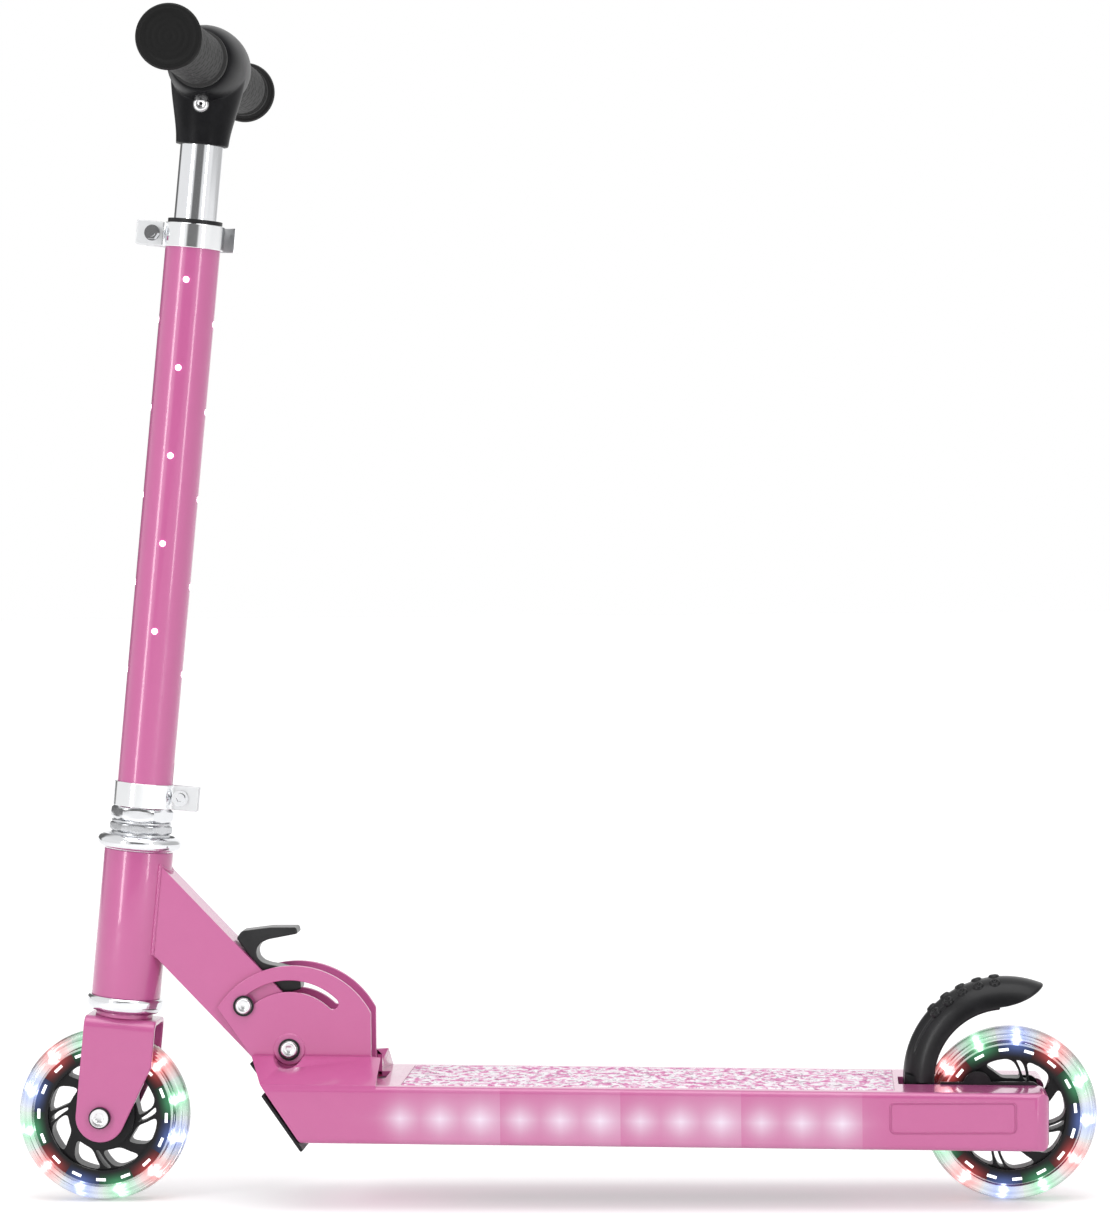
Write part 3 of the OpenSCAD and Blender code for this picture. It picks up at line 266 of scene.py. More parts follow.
# Painted light around the lamps of a wheel: a round spot and a faint four-point star at each lamp.
# The angle about the hub is folded into one pitch, and the lamp lies at (r cos a - R, r sin a) from there
def makeWheelGlowGroup(g):
    group, given, result = newGroup(
        "wheelGlow", {"Vector": origin, "Hub": origin, "Phase": 0.0, "Ring": 0.0427, "Reach": 0.006},
        ("Colour", "Spot", "Core"))
    x, _, z = split(vector("SUBTRACT", given["Vector"], given["Hub"]))
    angle = calc("ARCTAN2", z, x) - given["Phase"]
    index = calc("ROUND", angle / g["pitch"])
    folded = angle - index * g["pitch"]
    radius = calc("SQRT", x * x + z * z)
    across = radius * calc("SINE", folded)
    along = radius * calc("COSINE", folded) - given["Ring"]
    away = calc("SQRT", across * across + along * along) / given["Reach"]
    middle = decay(calc("POWER", away * g["coreSize"], g["coreFall"]))
    u, v = (abs(side) / given["Reach"] for side in (across, along))
    rays = [decay(scaled(a, g["rayThin"], b * g["rayFall"])) for a, b in ((u, v), (v, u))]
    third = calc("FLOORED_MODULO", index, 3.0)
    green, red, blue = g["colours"]
    colour = mix(calc("COMPARE", third, 1.0, 0.1), green, red)
    join(result, Colour=mix(calc("COMPARE", third, 2.0, 0.1), colour, blue),
         Spot=decay(calc("POWER", away, g["spotFall"])), Core=calc("ADD", middle, rays[0] + rays[1], clamp=True))
    return group


# Painted light around one row of lamps: u along the row folded into its pitch, v across it
def makeRowGlowGroup():
    group, given, result = newGroup(
        "rowGlow", {"Along": 0.0, "Across": 0.0, "Pitch": 0.0228, "Count": 12.0, "Reach": 0.006},
        ("Spot", "Star", "Haze"))
    index = calc("MINIMUM", calc("ROUND", given["Along"] / given["Pitch"]), given["Count"] - 1.0)
    index = calc("MAXIMUM", index, 0.0)
    u = (given["Along"] - index * given["Pitch"]) / given["Reach"]
    v = given["Across"] / given["Reach"]
    join(result, Spot=decay(u * u + v * v), Star=decay(abs(u * 0.7) + abs(v), 1.6), Haze=decay(v * v, 0.22))
    return group


sprayedCoat = makeCoatGroup()
brushedMetal = makeBrushedGroup()
mouldedGrain = makeGrainGroup()
wheelGlow = makeWheelGlowGroup(lampLight)
rowGlow = makeRowGlowGroup()
print("shader groups ready")

# Finishes
paint = {"pink": (0.56, 0.118, 0.315), "deep": (0.52, 0.102, 0.287), "rough": 0.28, "coat": 0.7}


def painted(name, coatRough, **more):
    material, sockets, place = newMaterial(
        name, paint["pink"], paint["rough"], Coat_Weight=paint["coat"], Coat_Roughness=coatRough, **more)
    coat = useGroup(sprayedCoat, Vector=place, Scale=1.0)
    join(sockets, Base_Color=mix(coat["Tone"], paint["deep"], paint["pink"]),
         Roughness=scaled(coat["Tone"], 0.12, paint["rough"] - 0.06), Normal=bumped(coat["Height"], 0.12, 0.0001))
    return material, sockets, place


def metalFinish(name, colour, rough, stretch=same, spread=0.10, bump=0.05):
    material, sockets, place = newMaterial(name, colour, rough, 1.0)
    metal = useGroup(brushedMetal, Vector=place, Stretch=stretch)
    join(sockets, Base_Color=mix(metal["Smudge"] * 0.5, colour, tuple(0.78 * c for c in colour)),
         Roughness=scaled(metal["Smudge"], spread, rough - spread / 2), Normal=bumped(metal["Height"], bump, 0.00005))
    return material


def blackFinish(name, colour, rough, scale=1.0, bump=0.25, coat=0.0, shine=0.22):
    material, sockets, place = newMaterial(
        name, colour, rough, Coat_Weight=coat, Coat_Roughness=0.2, Specular_IOR_Level=shine)
    grain = useGroup(mouldedGrain, Vector=place, Scale=scale)
    worn = ramp(grain["Scuff"], (0.45, (0, 0, 0)), (0.85, (1, 1, 1)))
    join(sockets, Base_Color=mix(worn, colour, tuple(min(1, 1.9 * c + 0.004) for c in colour)),
         Roughness=scaled(grain["Scuff"], 0.2, rough - 0.1), Normal=bumped(grain["Height"], bump, 0.0001))
    return material


pinkPaint = painted("pinkPaint", 0.06)[0]
chrome = metalFinish("chrome", (0.80, 0.81, 0.83), 0.10, spread=0.06, bump=0.02)
tubeChrome = metalFinish("tubeChrome", (0.82, 0.83, 0.85), 0.09, (1.0, 1.0, 0.05), 0.05, 0.03)
zinc = metalFinish("zinc", (0.62, 0.63, 0.65), 0.28, (1.0, 1.0, 0.3), 0.16, 0.12)
springWire = metalFinish("springWire", (0.45, 0.45, 0.47), 0.32, same, 0.16, 0.10)
spineSteel = metalFinish("spineSteel", (0.40, 0.40, 0.42), 0.42, (0.06, 1.0, 1.0), 0.18, 0.16)
camSilver = metalFinish("camSilver", (0.80, 0.81, 0.82), 0.42, (1.0, 1.0, 0.2), 0.12, 0.08)
boltFace = metalFinish("boltFace", (0.82, 0.82, 0.83), 0.30, spread=0.12, bump=0.06)
blackMoulding = blackFinish("blackMoulding", (0.012, 0.012, 0.013), 0.40)
blackSatin = blackFinish("blackSatin", (0.007, 0.007, 0.008), 0.36, 0.8, 0.12, 0.0, 0.08)
blackCoat = blackFinish("blackCoat", (0.014, 0.014, 0.015), 0.38, 0.5, 0.2)
lightBoard = blackFinish("lightBoard", (0.05, 0.055, 0.05), 0.5)
fenderBlack = blackFinish("fenderBlack", (0.006, 0.006, 0.007), 0.34, 0.7, 0.08, 0.1)
leverBlack = blackFinish("leverBlack", (0.013, 0.013, 0.014), 0.33, 0.6, 0.10, 0.2)
# Deeper pink for the tail's raised frame: painted shade that sets the bead off from the side
shadedReliefPink = newMaterial("shadedReliefPink", (0.44, 0.075, 0.235), 0.30, Coat_Weight=0.5, Coat_Roughness=0.08)[0]
clampLook = {"bright": (0.88, 0.89, 0.90), "satin": (0.66, 0.67, 0.68), "band": 0.0172, "ear": 0.0182}


# Bright band round the stem; its flat ears, further out, are left satin from the press
def makeClampChrome(c):
    material, sockets, place = newMaterial("clampChrome", c["bright"], 0.10, 1.0)
    metal = useGroup(brushedMetal, Vector=place, Stretch=(1.0, 1.0, 0.2))
    rel = vector("SUBTRACT", place, tuple(stemFoot))
    out = vector("DOT_PRODUCT", rel, tuple(np.cross((0, 1, 0), stemUp)), key="Value")
    ear = between(abs(out), c["band"], c["ear"])
    join(sockets, Base_Color=mix(scaled(metal["Smudge"], 0.4, ear * 0.6), c["bright"], c["satin"]),
         Roughness=scaled(metal["Smudge"], 0.06, scaled(ear, 0.36, 0.07)),
         Normal=bumped(metal["Height"], 0.04, 0.00005))
    return material


clampChrome = makeClampChrome(clampLook)
gripLook = {"centre": 0.6117, "pitch": math.radians(24), "row": 0.0078, "first": 0.055, "last": 0.136,
            "grooveFrom": 0.139, "grooveTo": 0.1505, "groovePitch": 0.004, "flangeFrom": 0.1545, "flangeTo": 0.1560,
            "ripple": 1900.0, "sleeve": (0.030,) * 3, "flange": (0.009,) * 3, "hollowShade": (0.004,) * 3}


def inside(value, low, high):
    return calc("GREATER_THAN", value, low) * calc("LESS_THAN", value, high)


# Grip rubber: grey sleeve with rows of sunken dashes and with grooves near the flange, both nearly black as painted
# shade in these hollows; darker flange with faint rings on its face
def makeGripRubber(g):
    material, sockets, place = newMaterial("gripRubber", g["sleeve"], 0.6, Specular_IOR_Level=0.12)
    x, y, z = split(vector("SUBTRACT", place, tuple(stemFoot + stemUp * g["centre"])))
    side = abs(y)
    row = side / g["row"]
    odd = calc("FLOORED_MODULO", calc("FLOOR", row), 2.0) * 0.5
    turn = abs(calc("FRACT", calc("ARCTAN2", z, x) / g["pitch"] + odd) - 0.5)
    step = abs(calc("FRACT", row) - 0.5)
    dash = between(turn, 0.36, 0.30) * between(step, 0.22, 0.16) * inside(side, g["first"], g["last"])
    flange = between(side, g["flangeFrom"], g["flangeTo"])
    groove = calc("GREATER_THAN", calc("FRACT", (side - 0.1396) / g["groovePitch"]), 0.62)
    # Dashes and grooves are hollows in the bump, and their near-black colour is painted shade
    shadedHollows = calc("MAXIMUM", dash, inside(side, g["grooveFrom"], g["grooveTo"]) * groove)
    grain = useGroup(mouldedGrain, Vector=place, Scale=1.2)
    ripple = calc("SINE", calc("SQRT", x * x + z * z) * g["ripple"]) * flange
    height = scaled(ripple, 0.6, grain["Height"] * 0.3) - shadedHollows * 2.0
    join(sockets, Base_Color=mix(shadedHollows, mix(flange, g["sleeve"], g["flange"]), g["hollowShade"]),
         Roughness=scaled(grain["Scuff"], 0.2, 0.48), Normal=bumped(height, 0.5, 0.0003))
    return material


gripRubber = makeGripRubber(gripLook)
deckLook = {"firstLamp": -0.0848, "pitch": 0.0228, "count": 12, "lampZ": 0.0530, "reach": 0.0080,
            "fall": math.tan(math.radians(0.73)), "wall": 0.0535, "board": 3, "glow": (0.50, 1.0, 0.90)}


# Pink shell with painted light along both sides, as though lit from inside; the painted haze is dimmer at the seam
# between two light boards
def makeDeckShellLook(d):
    material, sockets, place = painted("pinkShell", 0.08, Emission_Strength=1.0)
    x, y, z = split(place)
    along = x - d["firstLamp"]
    glow = useGroup(rowGlow, Along=along, Across=scaled(x, d["fall"], z) - d["lampZ"], Pitch=d["pitch"],
                    Count=float(d["count"]), Reach=d["reach"])
    length = d["pitch"] * (d["count"] - 0.4)
    lit = (between(along, -0.014, 0.004, shape="SMOOTHSTEP")
           * between(length - along, -0.016, 0.014, shape="SMOOTHSTEP"))
    board = calc("FRACT", (along + 0.5 * d["pitch"]) / (d["board"] * d["pitch"]))
    haze = glow["Haze"] * lit * scaled(board, 0.13, 0.05)
    total = (glow["Spot"] * 0.20 + glow["Star"] * 0.30 + haze) * calc("GREATER_THAN", abs(y), d["wall"])
    join(sockets, Emission_Color=mix(total, (0, 0, 0), d["glow"]))
    return material


pinkShell = makeDeckShellLook(deckLook)


# Grip sheet: white flecks and short strokes on pale pink, with fine grit
def makeGripSheet():
    material, sockets, place = newMaterial("gripSheet", (0.8, 0.5, 0.65), 0.7)
    bent = get(place.tree, "VectorMath", {0: noise(place, 90.0, 2.0, 1), 3: 0.010}, operation="SCALE")
    drawn = vector("MULTIPLY", vector("ADD", place, bent), (0.75, 0.42, 1.0))
    flecks = noise(drawn, 300.0, 3.0, Roughness=0.55)
    pale = ramp(flecks, (0.40, (0.68, 0.20, 0.44)), (0.47, (0.82, 0.46, 0.66)), (0.52, (0.93, 0.90, 0.93)))
    stroke, _, _ = split(noise(drawn, 240.0, 1.0, 1, Distortion=0.6))
    line = ramp(abs(stroke - 0.5), (0.008, (0.34, 0.20, 0.30)), (0.026, (1, 1, 1)))
    grit = get(place.tree, "TexVoronoi", {"Vector": place, "Scale": 1400.0}, "Distance")
    join(sockets, Base_Color=mix(0.75, pale, line, "MULTIPLY"), Normal=bumped(grit, 0.35, 0.0002))
    return material


gripSheet = makeGripSheet()
# The grey stops paint shade at both rims of a tyre, with faint rings of painted light and shade between
wheelLook = {"ring": 0.0433, "tyreReach": 0.0074, "coreReach": 0.0086, "lampReach": 0.0054,
             "tyre": (0.040, 0.050), "core": (0.033, 0.038), "key": (0.0396, 0.0392),
             "grey": ((0.0, 0.22), (0.12, 0.62), (0.30, 0.82), (0.52, 0.66), (0.66, 0.90), (0.80, 0.76),
                      (0.90, 0.50), (0.94, 0.07))}
white, unlit = (1, 1, 1), (0, 0, 0)


# The painted glow about a hub, and the share of the way between two distances from it
def wheelLight(place, hub, phase, reach, span):
    glow = useGroup(wheelGlow, Vector=place, Hub=tuple(hub), Phase=phase, Ring=wheelLook["ring"],
                    Reach=wheelLook[reach])
    flat = vector("MULTIPLY", vector("SUBTRACT", place, tuple(hub)), (1.0, 0.0, 1.0))
    return glow, between(vector("LENGTH", flat, key="Value"), *wheelLook[span])


# Clear cast tyre: grey at both rims as painted shade, faint lighter and darker rings between as painted light and
# shade, and painted light and tint from the lamps around each lamp
def makeTyreLook(name, hub, phase):
    material, sockets, place = newMaterial(
        name, (0.86, 0.90, 0.92), 0.06, Transmission_Weight=1.0, IOR=1.40, Emission_Strength=1.0)
    glow, share = wheelLight(place, hub, phase, "tyreReach", "tyre")
    rings = ramp(share, *[(at, (0.96 * g, g, 0.985 * g)) for at, g in wheelLook["grey"]])
    strength = scaled(glow["Core"], 0.9, glow["Spot"] * 0.14)
    join(sockets, Base_Color=mix(glow["Spot"] * 0.95, rings, mix(0.18, glow["Colour"], white)),
         Emission_Color=mix(strength, unlit, mix(glow["Core"], glow["Colour"], white)),
         Roughness=scaled(noise(place, 120.0, 3.0), 0.08, 0.02))
    return material


# Black core with painted light from the lamps: a coloured glowing spot by each lamp on its outer part
def makeCoreLook(name, hub, phase):
    material, sockets, place = newMaterial(
        name, (0.008, 0.008, 0.009), 0.34, Emission_Strength=1.0, Specular_IOR_Level=0.25)
    grain = useGroup(mouldedGrain, Vector=place, Scale=0.8)
    glow, outer = wheelLight(place, hub, phase, "coreReach", "core")
    join(sockets, Roughness=scaled(grain["Scuff"], 0.2, 0.26), Normal=bumped(grain["Height"], 0.15, 0.0001),
         Emission_Color=mix(glow["Spot"] * 0.60 * outer, unlit, glow["Colour"]))
    return material


# Lamps and clear keys: bright only at each lamp's die, with a dash of painted white light where a key shows in the
# core
def makeLampLook(name, hub, phase):
    material, sockets, place = newMaterial(
        name, (0.9, 0.9, 0.9), 0.12, Transmission_Weight=1.0, IOR=1.30, Emission_Strength=1.0)
    glow, key = wheelLight(place, hub, phase, "lampReach", "key")
    lit = mix(calc("ADD", glow["Core"], glow["Spot"] * 0.2, clamp=True), unlit,
              mix(glow["Core"], glow["Colour"], white))
    join(sockets, Base_Color=mix(glow["Spot"] * 0.75, (0.86, 0.88, 0.88), glow["Colour"]),
         Emission_Color=mix(key * 0.45, lit, (0.9, 0.94, 0.95)))
    return material


wheelFinish = {}
wheelParts = (("_tyre", "ClearTyre", makeTyreLook), ("_core", "WheelCore", makeCoreLook),
              ("_leds", "WheelLamp", makeLampLook))
for part, label, makeLook in wheelParts:
    for end, hub, phase in (("front", frontHub, 11.5), ("rear", rearHub, 24.5)):
        wheelFinish[end + part] = makeLook(end + label, hub, math.radians(phase))
stemLamp, lampSockets, _ = newMaterial("stemLamp", (0.9, 0.85, 0.9), 0.2, Emission_Strength=6.0)
lampSockets["Emission Color"].default_value = (1, 0.86, 0.95, 1)
print("finishes ready")

# Finishes on the frame's own pieces
slotLook = {"pink_paint": pinkPaint, "pink_shell": pinkShell, "spine_steel": spineSteel, "cap_black": blackMoulding,
            "bracket_black": blackCoat, "grip_print": gripSheet, "lamp": stemLamp, "light_board": lightBoard,
            "zinc": zinc, "chrome": chrome, "fender_black": blackMoulding, "lever_black": blackCoat,
            "spring_steel": springWire, "tube_chrome": tubeChrome, "t_black": blackSatin, "grip_rubber": gripRubber}
for name, obj in cadNodes.items():
    obj.data.materials.clear()
    obj.data.materials.append(wheelFinish.get(name) or slotLook[slotOf[name]])
print("frame pieces finished")


# Quads over a grid: row i joins row i + 1, and the last joins the first where a direction closes
def sheetOf(points, wrapRows=False, wrapColumns=False):
    rows, columns = points.shape[:2]
    i, j = np.meshgrid(np.arange(rows - (not wrapRows)), np.arange(columns - (not wrapColumns)), indexing="ij")
    i2, j2 = (i + 1) % rows, (j + 1) % columns
    quads = np.stack([i * columns + j, i2 * columns + j, i2 * columns + j2, i * columns + j2], -1)
    return points.reshape(-1, 3), quads.reshape(-1, 4)


def unit(v):
    v = np.asarray(v, float)
    return v / np.linalg.norm(v, axis=-1, keepdims=True)


def aside(point, y):
    return point + mm * np.array([0, y, 0])


def threeWide(rows):
    return np.array([(tuple(row) + (0.0,))[:3] for row in rows], float)


# Turned shape: centre + axis * height + radius * (cos t * first + sin t * second), in mm about centre.
# A third value k in a row draws it to a hexagon: radius * (1 + k * (cos 30 / cos(t mod 60 - 30) - 1))
def turned(profile, centre, axis, sides=72, closed=False):
    rows = threeWide(profile)
    axis = unit(axis)
    first = unit(np.cross((0, 1, 0) if abs(axis[1]) < 0.9 else (0, 0, 1), axis))
    second = np.cross(axis, first)
    t = np.linspace(0, 2 * np.pi, sides, endpoint=False)
    hexagon = math.cos(np.pi / 6) / np.cos(t % (np.pi / 3) - np.pi / 6) - 1
    radius = rows[:, 0, None] * (1 + rows[:, 2, None] * hexagon)
    ring = np.cos(t)[:, None] * first + np.sin(t)[:, None] * second
    points = radius[..., None] * ring + rows[:, 1, None, None] * axis
    return sheetOf(np.asarray(centre) + mm * points, closed, True)


# Each corner P becomes the curve (1-u)^2 a + 2u(1-u) P + u^2 b, with a and b at most one cut away
def softCorners(outline, cut, steps=4, closed=True):
    p = threeWide(outline)
    before, after = np.roll(p, 1, 0) - p, np.roll(p, -1, 0) - p
    spans = [np.linalg.norm(d[:, :2], axis=1, keepdims=True) + 1e-9 for d in (before, after)]
    a, b = (p + d / s * np.minimum(cut, 0.45 * s) for d, s in zip((before, after), spans))
    if not closed:
        a[0] = b[0] = p[0]
        a[-1] = b[-1] = p[-1]
    u = np.linspace(0, 1, steps)[None, :, None]
    curve = (1 - u) ** 2 * a[:, None] + 2 * u * (1 - u) * p[:, None] + u * u * b[:, None]
    return curve.reshape(-1, 3)


# Curve of four corners with the weights (1-u)^3, 3u(1-u)^2, 3u^2(1-u) and u^3
def cubicCurve(corner, count):
    u = np.linspace(0, 1, count)[:, None]
    return ((1 - u) ** 3 * corner[0] + 3 * u * (1 - u) ** 2 * corner[1] + 3 * u * u * (1 - u) * corner[2]
            + u ** 3 * corner[3])


# Round rod along a path: path + radius * (cos t * side + sin t * lift), lift square to path and side
def swept(path, radius, lift, sides=12, closed=False):
    ahead = unit(np.roll(path, -1, 0) - np.roll(path, 1, 0) if closed else np.gradient(path, axis=0))
    side = unit(np.cross(ahead, lift))
    lift = np.cross(side, ahead)
    t = np.linspace(0, 2 * np.pi, sides, endpoint=False)[None, :, None]
    radius = np.broadcast_to(np.asarray(radius, float), (len(path),))[:, None, None]
    return sheetOf(path[:, None] + radius * (np.cos(t) * side[:, None] + np.sin(t) * lift[:, None]), closed, True)


# Doubles merged, then a step of the piece's own, then all faces turned outwards
def cleaned(mesh, gap, step=None):
    work = bmesh.new()
    work.from_mesh(mesh)
    bmesh.ops.remove_doubles(work, verts=work.verts, dist=gap)
    bmesh.ops.dissolve_degenerate(work, edges=work.edges, dist=gap)
    if step:
        step(work)
    bmesh.ops.recalc_face_normals(work, faces=work.faces)
    work.to_mesh(mesh)
    work.free()


def shade(mesh, sharp):
    mesh.shade_smooth()
    mesh.set_sharp_from_angle(angle=math.radians(sharp))


def roundEdges(obj, width, steps, limit, sharp):
    bevel = obj.modifiers.new("edges", "BEVEL")
    bevel.width, bevel.segments = width * mm, steps
    bevel.limit_method, bevel.angle_limit = "ANGLE", math.radians(limit)
    shade(obj.data, sharp)


# A piece takes the body of the frame piece that it stands for, or that it lies on
def enter(name, mesh, materials, node, replaced=True):
    for material in materials:
        mesh.materials.append(material)
    obj = linked(name, mesh)
    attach(obj, bodyOf[node])
    if replaced:
        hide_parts(node)
    return obj


# One object from several grids; a grid's third entry is its material's number
def makePiece(name, shapes, materials, node, replaced=True, sharp=40):
    starts = np.cumsum([0] + [len(s[0]) for s in shapes])
    faces = np.concatenate([s[1] + start for s, start in zip(shapes, starts)])
    mesh = bpy.data.meshes.new(name)
    mesh.from_pydata(np.concatenate([s[0] for s in shapes]), [], faces.tolist())
    number = np.concatenate([np.full(len(s[1]), s[2] if len(s) > 2 else 0) for s in shapes])
    mesh.polygons.foreach_set("material_index", number.astype(np.int32))
    cleaned(mesh, 0.000002)
    shade(mesh, sharp)
    return enter(name, mesh, materials, node, replaced)


# A frame piece's own shape with its edges rounded; reshape moves its points, and trim cuts faces away
def roundedCopy(name, node, material, width, reshape=None, trim=None, steps=2):
    source = cadNodes[node].data
    points = np.empty(len(source.vertices) * 3)
    source.vertices.foreach_get("co", points)
    points = points.reshape(-1, 3)
    faces = np.empty(len(source.loops), int)
    source.loops.foreach_get("vertex_index", faces)
    mesh = bpy.data.meshes.new(name)
    mesh.from_pydata(reshape(points) if reshape else points, [], faces.reshape(-1, 3).tolist())

    def flatten(work):
        if trim:
            trim(work)
        bmesh.ops.dissolve_limit(work, angle_limit=math.radians(0.6), verts=work.verts, edges=work.edges)

    cleaned(mesh, 0.00001, flatten)
    roundEdges(enter(name, mesh, [material], node), width, steps, 35, 32)


# Plate of one outline in the XZ plane, as wide to both sides, its corners softened and its edges rounded
def cutPlate(name, p, material, node):
    ring = softCorners(p["outline"], p["soft"], 6)[:, :2] * mm
    count = len(ring)
    points = np.concatenate([np.column_stack([ring[:, 0], np.full(count, y * mm), ring[:, 1]])
                             for y in (-p["half"], p["half"])])
    i = np.arange(count)
    walls = np.stack([i, (i + 1) % count, (i + 1) % count + count, i + count], -1).tolist()
    mesh = bpy.data.meshes.new(name)
    mesh.from_pydata(points, [], walls + [i[::-1].tolist(), (i + count).tolist()])
    cleaned(mesh, 0.00002)
    roundEdges(enter(name, mesh, [material], node), p["edge"], 3, 50, 40)


print("surface tools ready")

# Headset: turned rings about the steering axis
headset = {
    "tube": 20, "tubeFrom": 69.8, "tubeTo": 155.3, "wall": 2.5, "cupWall": 1.5, "lower": 22.0, "lowerFrom": 61.3,
    "upper": 24.2, "upperHeight": 9, "pocket": 19.05, "steerer": 13.98, "raceFrom": 58, "raceHeight": 3.7,
    "adjustFrom": 163.1, "adjustHeight": 8, "collar": 2.3, "washerFrom": 171.1, "washerHeight": 1.2,
    "nutFrom": 172.3, "nutHeight": 8.2, "nut": 18.25}


# A hexagon nut with both rims turned down: the hexagon fades out towards each face
def nutRows(low, high, inner, outer):
    chamfer = 0.22 * (high - low)
    return [(inner, low), (outer * 0.86, low), (outer * 0.93, low + 0.25 * chamfer, 0.55),
            (outer, low + chamfer, 1), (outer, high - chamfer, 1), (outer * 0.93, high - 0.25 * chamfer, 0.55),
            (outer * 0.86, high), (inner + 0.6, high), (inner, high - 0.6)]


# The cups are pressed into the tube's ends; the crown race is painted with the fork that it sits on
def makeHeadset(h):
    inner, top, bottom = h["tube"] - h["wall"], h["tubeTo"], h["tubeFrom"]
    bore, edge, rim, pocket, steerer = inner - h["cupWall"], h["lower"], h["upper"], h["pocket"], h["steerer"]
    foot, crown, adjust = h["lowerFrom"], top + h["upperHeight"], h["adjustFrom"]
    rings = (
        ("lowerCup", "lower_cup", chrome, 0.5,
         [(bore, bottom + 8), (inner, bottom + 8), (inner, bottom), (edge - 1.0, bottom), (edge, bottom - 1.2),
          (edge, foot + 3.4), (edge - 0.9, foot + 1.4), (edge - 2.8, foot), (pocket, foot), (pocket, bottom - 1),
          (bore, bottom - 1)]),
        ("upperCup", "upper_cup", chrome, 0.6,
         [(bore, top - 8), (inner, top - 8), (inner, top), (rim - 4.2, top), (rim - 3.4, top + 1.0),
          (rim - 1.0, top + 1.7), (rim, top + 3.2), (rim, crown - 3.2), (rim - 1.0, crown - 1.5), (rim - 3.6, crown),
          (pocket, crown - 1.4), (pocket, top + 1), (bore, top + 1)]),
        ("crownRace", "crown_race", pinkPaint, 0.4,
         [(r, z + h["raceFrom"]) for r, z in (
             (steerer, 0), (steerer + 2.6, 0), (steerer + 2.6, h["raceHeight"] - 1.2),
             (steerer + 1.6, h["raceHeight"]), (steerer, h["raceHeight"]))]),
        ("adjustingRace", "adjusting_race", zinc, 0.2,
         [(steerer, adjust), (steerer + 3, adjust), (steerer + 3, adjust + h["collar"])]
         + nutRows(adjust + h["collar"], adjust + h["adjustHeight"], steerer, h["nut"])[1:]),
        ("lockWasher", "lock_washer", zinc, 0.3,
         [(r, z + h["washerFrom"]) for r, z in (
             (steerer, 0), (h["nut"] - 1, 0), (h["nut"] - 1, h["washerHeight"]), (steerer, h["washerHeight"]))]),
        ("locknut", "locknut", chrome, 0.2, nutRows(h["nutFrom"], h["nutFrom"] + h["nutHeight"], steerer, h["nut"])))
    for name, node, material, cutBack, rows in rings:
        makePiece(name, [turned(softCorners(rows, cutBack), stemFoot, stemUp, 120, True)], [material], node)


makeHeadset(headset)
print("headset turned")


# Turned rows with their materials' numbers, as the grids of one piece
def turnedSet(centre, out, *sets, closed=False):
    return [(*turned(rows, centre, out, closed=closed), number) for rows, number in sets]


# Bolts across the machine: a head facing -y with a washer, a dished face and a driver recess, in rows of
# (radius, height) from its seat, and a nut facing +y on the far side
def headShapes(centre, b):
    out, ring, seat = (0, -1, 0), b["ring"], b["headWasher"]
    head, top, socket = b["head"], b["headHeight"], b["socket"]
    rows = softCorners([(b["shank"], 0), (ring, 0), (ring, seat), (head + 0.3, seat)], 0.35, closed=False)
    crown = softCorners([(head + 0.3, seat - 0.05), (head + 0.05, seat + 0.1), (head, top - 0.7), (head - 0.8, top),
                         (socket + 0.35, top - 0.15)], 0.5, closed=False)
    recess = [(socket + 0.35, top - 0.15), (socket, top - 0.4, 1), (socket * 0.96, top - 1.9, 1), (0, top - 2.3)]
    return turnedSet(centre, out, (rows, 1), (crown, 0), (recess, 0))


def nutShapes(centre, b):
    out, ring, seat, shank = (0, 1, 0), b["ring"], b["nutWasher"], b["shank"]
    top = seat + b["nutHeight"]
    washer = softCorners([(shank, 0), (ring, 0), (ring, seat), (shank, seat)], 0.3)
    end = softCorners([(shank, -1), (shank, top + b["over"]), (shank - 0.6, top + b["over"] + 0.5),
                       (0, top + b["over"] + 0.5)], 0.2, closed=False)
    rings = turnedSet(centre, out, (washer, 1), (nutRows(seat, top, shank, b["nut"]), 0), closed=True)
    return rings + turnedSet(centre, out, (end, 0))


# Plain rod with flat ends from start to end
def shankShape(start, end, radius):
    span = np.linalg.norm(end - start) / mm
    return turnedSet(start, end - start, ([(0, 0), (radius, 0), (radius, span), (0, span)], 0))[0]


lockTurn = math.radians(136.1)
fasteners = {
    "headWasher": 1.3, "headHeight": 3.3, "nutWasher": 1.2, "nut": 5.2, "nutHeight": 3.6, "over": 0.2, "shank": 3.0,
    "end": 4.8,
    "hinge": {"at": foldPin, "ring": 6.3, "head": 4.7, "socket": 2.1, "half": 17.8},
    "lock": {"at": foldPin + mm * 36.5 * np.array([math.cos(lockTurn), 0, math.sin(lockTurn)]),
             "ring": 6.0, "head": 4.4, "socket": 2.0, "half": 17.5}}
boltMetals = [boltFace, blackCoat]


def makeSideBolts(table):
    for key in ("hinge", "lock"):
        b = {**table, **table[key]}
        near, far = aside(b["at"], -b["half"]), aside(b["at"], b["half"])
        shapes = headShapes(near, b) + [shankShape(near, aside(far, b["end"]), b["shank"] - 0.1)]
        makePiece(key + "Bolt", shapes, boltMetals, key + "_bolt")
        makePiece(key + "Nut", nutShapes(far, b), boltMetals, key + "_nut")


makeSideBolts(fasteners)
axleLook = {"head": 6.3, "disc": 5.3, "height": 4.0, "socket": 2.9, "shank": 3.9, "nut": 7.4, "nutHeight": 6.4,
            "frontHalf": 19.0, "rearHalf": 17.0}


